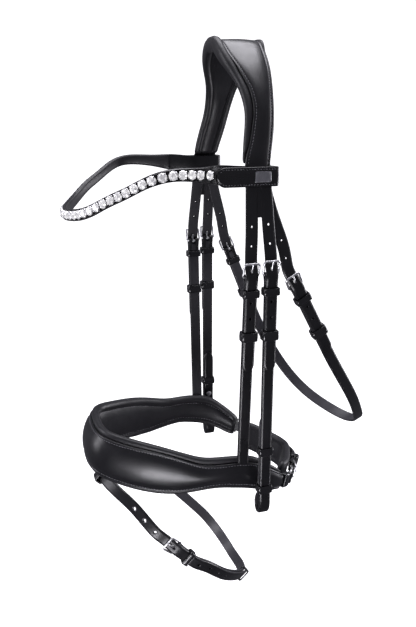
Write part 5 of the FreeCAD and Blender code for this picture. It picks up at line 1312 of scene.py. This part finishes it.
# the sign of the outward side is carried along from the middle of the front
sgn = 1.0 if brow_frame(mid_i)[1] < 0 else -1.0
rows, s_up, s_dn, chan = [], [], [], []
for i in range(len(brow)):
    x, y = brow[i]
    nx, ny = brow_frame(i)
    nx, ny = nx * sgn, ny * sgn
    zc, hh = lerp(MIDZ, y), lerp(HALFZ, y)
    d = abs(bl[i] - bl[mid_i])
    stone = smoothstep(191.0, 186.0, d)  # 1 where the crystals sit
    rim = 0.9 * stone
    top = [(-hh, 0.35), (-hh + 0.2, 0.95 + rim * 0.6), (-hh + 0.7, 1.2 + rim), (-hh + 1.2, 1.1 + rim), (-hh + 1.6, 1.2 - 0.15 * (1 - stone)), (-hh + 2.0, 1.2 - 0.3 * (1 - stone)), (-hh + 2.4, 1.2), (-hh * 0.4, 1.25), (0, 1.28)]
    sec = top + [(-a, b) for a, b in top[::-1][1:]]
    sec += [(hh, -0.35), (hh - 0.25, -1.0), (hh - 0.8, -1.2), (0, -1.2), (-hh + 0.8, -1.2), (-hh + 0.25, -1.0), (-hh, -0.35)]
    rows.append([Vector((x + nx * o, y + ny * o, zc + z)) for z, o in sec])
    s_up.append((Vector((x, y, zc + hh - 1.9)), Vector((nx, ny, 0))))
    s_dn.append((Vector((x, y, zc - hh + 1.9)), Vector((nx, ny, 0))))
v, f = tube_rows(rows)
done(Soup().add(v, f).obj("browband_strap_piece", [STRAP], angle=60), "browband", "panel_leather", "browband_leather")
th = threads("browband")
for seam in (s_up, s_dn):
    P = Path([a for a, _ in seam], [b for _, b in seam])
    c = P.length / 2
    stitches(th, P, 0.0, 1.0, 4.0, c - 191.0, pitch=2.9, length=2.0)
    stitches(th, P, 0.0, 1.0, c + 191.0, P.length - 4.0, pitch=2.9, length=2.0)
# soft lining
idx = [i for i in range(len(brow)) if brow[i][1] < -47.5]
rows = []
n_ = len(idx)
for q, i in enumerate(idx):
    x, y = brow[i]
    nx, ny = brow_frame(i)
    nx, ny = nx * sgn, ny * sgn
    zc, hh = lerp(MIDZ, y), lerp(HALFZ, y) - 0.35
    e = math.sqrt(max(0.05, 1 - (1 - min(1.0, min(q, n_ - 1 - q) / 8.0)) ** 2))
    k = 2.3 * e
    sec = [(hh, -1.2), (hh + 0.1, -1.2 - 0.35 * k), (hh - 0.6, -1.2 - 0.75 * k), (hh * 0.5, -1.2 - k), (0, -1.2 - 1.05 * k), (-hh * 0.5, -1.2 - k), (-hh + 0.6, -1.2 - 0.75 * k), (-hh - 0.1, -1.2 - 0.35 * k), (-hh, -1.2)]
    rows.append([Vector((x + nx * (o + 0.1 * noise.noise(Vector((x * 0.15, y * 0.15, z * 0.2)))), y + ny * o, zc + z)) for z, o in sec])
v, f = tube_rows(rows)
done(Soup().add(v, f).obj("browband_lining_piece", [NAPPA], angle=75), "browband", "padding", "browband_lining", padded=0.5)


# crystals and claw settings
def place(arc):
    s = bl[mid_i] + arc
    i = min(range(len(bl)), key=lambda k: abs(bl[k] - s))
    i = min(max(i, 1), len(bl) - 2)
    if bl[i] > s:
        i -= 1
    f = (s - bl[i]) / (bl[i + 1] - bl[i])
    x, y = brow[i][0] * (1 - f) + brow[i + 1][0] * f, brow[i][1] * (1 - f) + brow[i + 1][1] * f
    a, c = brow_frame(i), brow_frame(i + 1)
    nx, ny = sgn * (a[0] * (1 - f) + c[0] * f), sgn * (a[1] * (1 - f) + c[1] * f)
    out = Vector((nx, ny, 0)).normalized()
    dz = (lerp(MIDZ, brow[min(len(brow) - 1, i + 3)][1]) - lerp(MIDZ, brow[max(0, i - 3)][1])) / max(1e-6, bl[min(len(brow) - 1, i + 3)] - bl[max(0, i - 3)])
    t = Vector((brow[i + 1][0] - brow[i][0], brow[i + 1][1] - brow[i][1], 0)).normalized()
    t = (t + Vector((0, 0, dz))).normalized()
    z = lerp(MIDZ, y)
    w = out.cross(t).normalized()
    return Vector((x, y, z)), t, w, out


gem, cup = Soup(), Soup()
for k_ in range(-21, 22):
    arc = k_ * 8.6 + (math.copysign(1.6, k_) if abs(k_) == 21 else 0)
    p, t, w, out = place(arc)
    base = p + out * 1.25
    R = 3.98
    tw = 0.12 * math.sin(k_ * 2.7)

    def q(r, a, h):
        return base + (t * math.cos(a + tw) + w * math.sin(a + tw)) * r + out * h

    # stone: girdle, star and kite facets, table, pavilion hidden in the cup
    G = [q(R * (1.0 if j % 2 == 0 else 0.985), math.tau * j / 16, 1.85) for j in range(16)]
    G2 = [q(R * (1.0 if j % 2 == 0 else 0.985), math.tau * j / 16, 1.6) for j in range(16)]
    B = [q(R * 0.80, math.tau * (j + 0.5) / 8, 2.9) for j in range(8)]
    T = [q(R * 0.54, math.tau * j / 8, 3.5) for j in range(8)]
    cul = q(0, 0, 0.15)
    vs = G + G2 + B + T + [cul]
    fs = []
    for j in range(8):
        g0, g1, g2 = 2 * j, 2 * j + 1, (2 * j + 2) % 16
        b0 = 32 + j
        b_1 = 32 + (j - 1) % 8
        t0, t1 = 40 + j, 40 + (j + 1) % 8
        fs += [(g0, g1, b0), (g1, g2, b0), (t0, b0, t1)]
        fs += [(g0, b0, t0, b_1)]
    fs.append(tuple(40 + j for j in range(8)))
    for j in range(16):
        j2 = (j + 1) % 16
        fs.append((j, 16 + j, 16 + j2, j2))
        fs.append((16 + j, 48, 16 + j2))
    gem.add(vs, fs)
    # cup with a rolled rim
    prof = [(2.4, 0.0), (3.4, 0.0), (3.9, 0.3), (4.14, 0.9), (4.18, 1.55), (4.1, 1.75), (4.0, 1.65), (3.9, 1.2), (3.3, 0.6), (2.4, 0.35)]
    rows = []
    for j in range(28):
        a = math.tau * j / 28
        rows.append([q(r, a, h) for r, h in prof])
    v, f = tube_rows(rows, closed_rows=True)
    cup.add(v, f)
    for j in range(4):
        a = math.tau * (j + 0.5) / 4 - tw
        c0 = [(4.05, 0.9), (4.15, 1.95), (3.95, 2.7), (3.4, 3.02), (3.05, 3.05)]
        rows = []
        for m_, (r, h) in enumerate(c0):
            rad = [0.55, 0.55, 0.52, 0.45, 0.25][m_]
            d = Vector(((c0[min(4, m_ + 1)][0] - c0[max(0, m_ - 1)][0]), 0, (c0[min(4, m_ + 1)][1] - c0[max(0, m_ - 1)][1]))).normalized()
            nrm2 = Vector((d.z, 0, -d.x))
            rows.append([q(r + nrm2.x * rad * math.cos(g), a + tw * 0 + rad * math.sin(g) / max(2.5, r), h + nrm2.z * rad * math.cos(g)) for g in [math.tau * n2 / 8 for n2 in range(8)]])
        v, f = tube_rows(rows)
        cup.add(v, f)
ob = gem.obj("crystals_piece", [CRYSTAL], smooth=False)
done(ob, "browband", "crystal", "browband_crystals")
done(cup.obj("crystal_settings_piece", [SETTING]), "browband", "setting_metal", "crystal_settings")

# fold-over tabs
for s, side in ((1, "near"), (-1, "far")):
    pts = [(84.4, 8.6), (86.4, 9.0), (88.2, 8.5), (89.1, 6.9), (89.15, 4.5), (89.05, 0), (89.0, -10), (89.0, -22), (89.0, -35), (89.0, -49.6)]
    line = spline([(s * x, y, -107.5) for x, y in pts], 90)
    P = Path(line, lambda p, t, i, s=s: t.cross(Vector((0, 0, 1))) * (1 if s * t.cross(Vector((0, 0, 1))).dot(Vector((s, 0.35, 0))) * s > 0 else -1))
    L_ = P.length

    def wf_(x, L_=L_):
        d = L_ - x
        if d >= 8.75:
            return 1.0
        return max(0.06, math.sqrt(max(0.0, 1 - (1 - d / 8.75) ** 2)))

    sp = Soup()
    rowsS = [L_ * i / 60 for i in range(48)]
    rowsS += [L_ - 8.75 * (1 - math.sin(math.radians(a))) for a in range(0, 91, 6)]
    rowsS = sorted(set(round(x, 4) for x in rowsS))
    rows = []
    for x in rowsS:
        p, t, o = P.at(x)
        k = wf_(x)
        hh = 8.75 * k
        bev = min(1.0, k * 2)
        top = [(-hh, 0.25), (-hh + 0.22 * bev, 0.8), (-hh + 0.7 * bev, 1.08), (-hh + 1.4 * bev, 1.1), (-hh + 1.75 * bev, 1.0), (-hh + 2.05 * bev, 0.82), (-hh + 2.35 * bev, 1.0), (-hh + 2.9 * bev, 1.18), (-hh * 0.35, 1.4), (0, 1.45)]
        sec = top + [(-a, b) for a, b in top[::-1][1:]] + [(hh, -0.3), (hh - 0.3 * bev, -1.0), (0, -1.1), (-hh + 0.3 * bev, -1.0), (-hh, -0.3)]
        rows.append([p + Vector((0, 0, z)) + o * h for z, h in sec])
    v, f = tube_rows(rows)
    ob = Soup().add(v, f).obj(side + "_tab_piece", [TAB], angle=60)
    fix_normals(ob)
    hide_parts(side + "_tab")
    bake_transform(ob)
    # stitched border
    border = []
    hb = 6.7
    for x in [6.0 + (L_ - 6.0 - 8.75) * i / 30 for i in range(31)]:
        border.append((x, hb))
    for a in range(0, 181, 6):
        border.append((L_ - 8.75 + math.sin(math.radians(a)) * (8.75 - 2.05), hb * math.cos(math.radians(a))))
    for x in [L_ - 8.75 - (L_ - 6.0 - 8.75) * i / 30 for i in range(1, 31)]:
        border.append((x, -hb))
    q3 = []
    for x, z in border:
        p, t, o = P.at(x)
        q3.append((p + Vector((0, 0, z)), o))
    PB = Path([a for a, _ in q3], [b for _, b in q3])
    sp = Soup()
    stitches(sp, PB, 0.0, 0.88, 0, None, pitch=2.7, length=1.9)
    done(sp.obj(side + "_tab_stitching", [THREAD]), side + "_tab", "strap_leather")
    # snap socket and post: turned rings
    sp = Soup()
    c = Vector((s * 87.9, -37.0, -106.4))
    prof = [(2.6, 0.0), (4.0, 0.0), (4.2, -0.3), (4.1, -0.9), (3.5, -1.3), (3.0, -1.6), (2.6, -1.5)]
    rows = [[c + Vector((s * h, r * math.cos(a), r * math.sin(a))) for r, h in prof] for a in [math.tau * k / 28 for k in range(28)]]
    v, f = tube_rows(rows, closed_rows=True)
    sp.add(v, f)
    done(sp.obj(side + "_snap_socket_piece", [STEEL]), side + "_tab", "buckle_steel", side + "_snap_socket")
sp = Soup()
for s in (1, -1):
    prof = [(0.3, 87.5), (1.5, 87.45), (2.05, 87.0), (2.1, 86.4), (1.8, 85.6), (1.8, 84.2), (3.2, 83.9), (3.6, 83.4), (3.6, 82.9), (0.3, 82.8)]
    rows = [[Vector((s * x, -37.0 + r * math.cos(a), -106.4 + r * math.sin(a))) for a in [math.tau * k / 24 for k in range(24)]] for r, x in prof]
    v, f = tube_rows(rows)
    sp.add(v, f)
done(sp.obj("snap_posts_piece", [STEEL]), "browband", "buckle_steel", "snap_posts")

# plain plate on the near tab
sp = Soup()
out_loop = rounded_rect(-7.5, -4.8, 7.5, 4.8, 0.9, 4)


def plate_loop(k, x):
    return [Vector((x, -6.2 + y * k[0], -107.5 + z * k[1])) for y, z in out_loop]


rows = [plate_loop((1, 1), 90.25), plate_loop((1, 1), 90.95), plate_loop((0.965, 0.945), 91.15), plate_loop((0.90, 0.85), 91.15), plate_loop((0.87, 0.80), 90.95), plate_loop((0.4, 0.4), 90.95)]
v, f = tube_rows(rows)
sp.add(v, f)
done(sp.obj("tab_plate_piece", [PLATE], angle=30), "near_tab", "plate_metal", "tab_plate")

# ------------------------------------------------------------------ thread objects
for body, sp in thread.items():
    if sp.v:
        done(sp.obj(body + "_stitching", [THREAD]), body, "strap_leather")

# ------------------------------------------------------------------ stage, light, camera
# floor with a curved backdrop behind it
CAM = Vector((0.653159, -0.231240, -0.051053))
A, Pt = math.radians(72.845), math.radians(16.863)
back = Vector((math.sin(A) * math.cos(Pt), -math.cos(A) * math.cos(Pt), math.sin(Pt)))
right = Vector((math.cos(A), math.sin(A), 0))
upv = back.cross(right)
away = Vector((-back.x, -back.y, 0)).normalized()
prof = [(-3.0, -0.86), (1.2, -0.86)] + [(1.2 + 1.0 * math.sin(math.radians(q)), 0.14 - 1.0 * math.cos(math.radians(q))) for q in range(10, 91, 10)] + [(2.2, 3.0)]
fv, ff = [], []
for d, z in prof:
    for k in (-5.0, 5.0):
        c = away * d + right * k
        fv.append((c.x, c.y, z))
for i in range(len(prof) - 1):
    ff.append((2 * i, 2 * i + 1, 2 * i + 3, 2 * i + 2))
me = bpy.data.meshes.new("floor")
me.from_pydata(fv, [], ff)
me.shade_smooth()
floor = bpy.data.objects.new("floor", me)
bpy.context.scene.collection.objects.link(floor)
fm, nt, b = principled("floor_mat", (0.90, 0.90, 0.90), 0.9, spec=0.1)
b.inputs["Emission Color"].default_value = (1, 1, 1, 1)
b.inputs["Emission Strength"].default_value = 0.95
me.materials.append(fm)
floor.visible_diffuse = False
floor.visible_glossy = False
floor.visible_shadow = False

world = bpy.data.worlds.new("studio")
bpy.context.scene.world = world
world.use_nodes = True
wt = world.node_tree
bg = wt.nodes["Background"]
tc = wt.nodes.new("ShaderNodeTexCoord")
sep = wt.nodes.new("ShaderNodeSeparateXYZ")
wt.links.new(tc.outputs["Generated"], sep.inputs[0])
mr = wt.nodes.new("ShaderNodeMapRange")
mr.inputs["From Min"].default_value = -1.0
mr.inputs["From Max"].default_value = 1.0
mr.inputs["To Min"].default_value = 0.10
mr.inputs["To Max"].default_value = 0.22
wt.links.new(sep.outputs["Z"], mr.inputs["Value"])
wt.links.new(mr.outputs["Result"], bg.inputs["Strength"])
bg.inputs["Color"].default_value = (0.88, 0.87, 1.0, 1)


def area(name, loc, target, size, size_y, power, spread=None):
    l = bpy.data.lights.new(name, "AREA")
    l.shape = "RECTANGLE"
    l.size, l.size_y = size, size_y
    l.energy = power
    l.color = (0.955, 0.94, 1.0)
    if spread:
        l.spread = math.radians(spread)
    o = bpy.data.objects.new(name, l)
    bpy.context.scene.collection.objects.link(o)
    o.location = loc
    d = Vector(target) - Vector(loc)
    o.rotation_euler = d.to_track_quat("-Z", "Y").to_euler()
    o.visible_camera = False
    return o


cam_data = bpy.data.cameras.new("camera")
cam_data.sensor_width = 36.0
cam_data.lens = 38.447
cam_data.clip_start, cam_data.clip_end = 0.01, 100.0
cam = bpy.data.objects.new("camera", cam_data)
bpy.context.scene.collection.objects.link(cam)
m = Matrix.Identity(4)
for i in range(3):
    m[i][0], m[i][1], m[i][2], m[i][3] = right[i], upv[i], back[i], CAM[i]
cam.matrix_world = m
bpy.context.scene.camera = cam

mid = Vector((0, -0.02, -0.28))
top = Vector((0, -0.01, -0.05))
nose = Vector((0.03, -0.12, -0.42))
area("top_soft", top + Vector((-0.26, 0.10, 1.2)), top, 1.0, 1.0, 20)
area("left_soft", mid - right * 1.35 + back * 0.12 + Vector((0, 0, 0.4)), mid, 0.6, 1.2, 9)
area("right_rim", mid + right * 1.25 - back * 0.45 + Vector((0, 0, 0.3)), mid, 0.4, 1.2, 15)
area("low_bounce", nose + Vector((0.55, -0.22, -0.21)), nose, 0.34, 0.22, 3.2)

bpy.context.scene.view_settings.view_transform = "Standard"
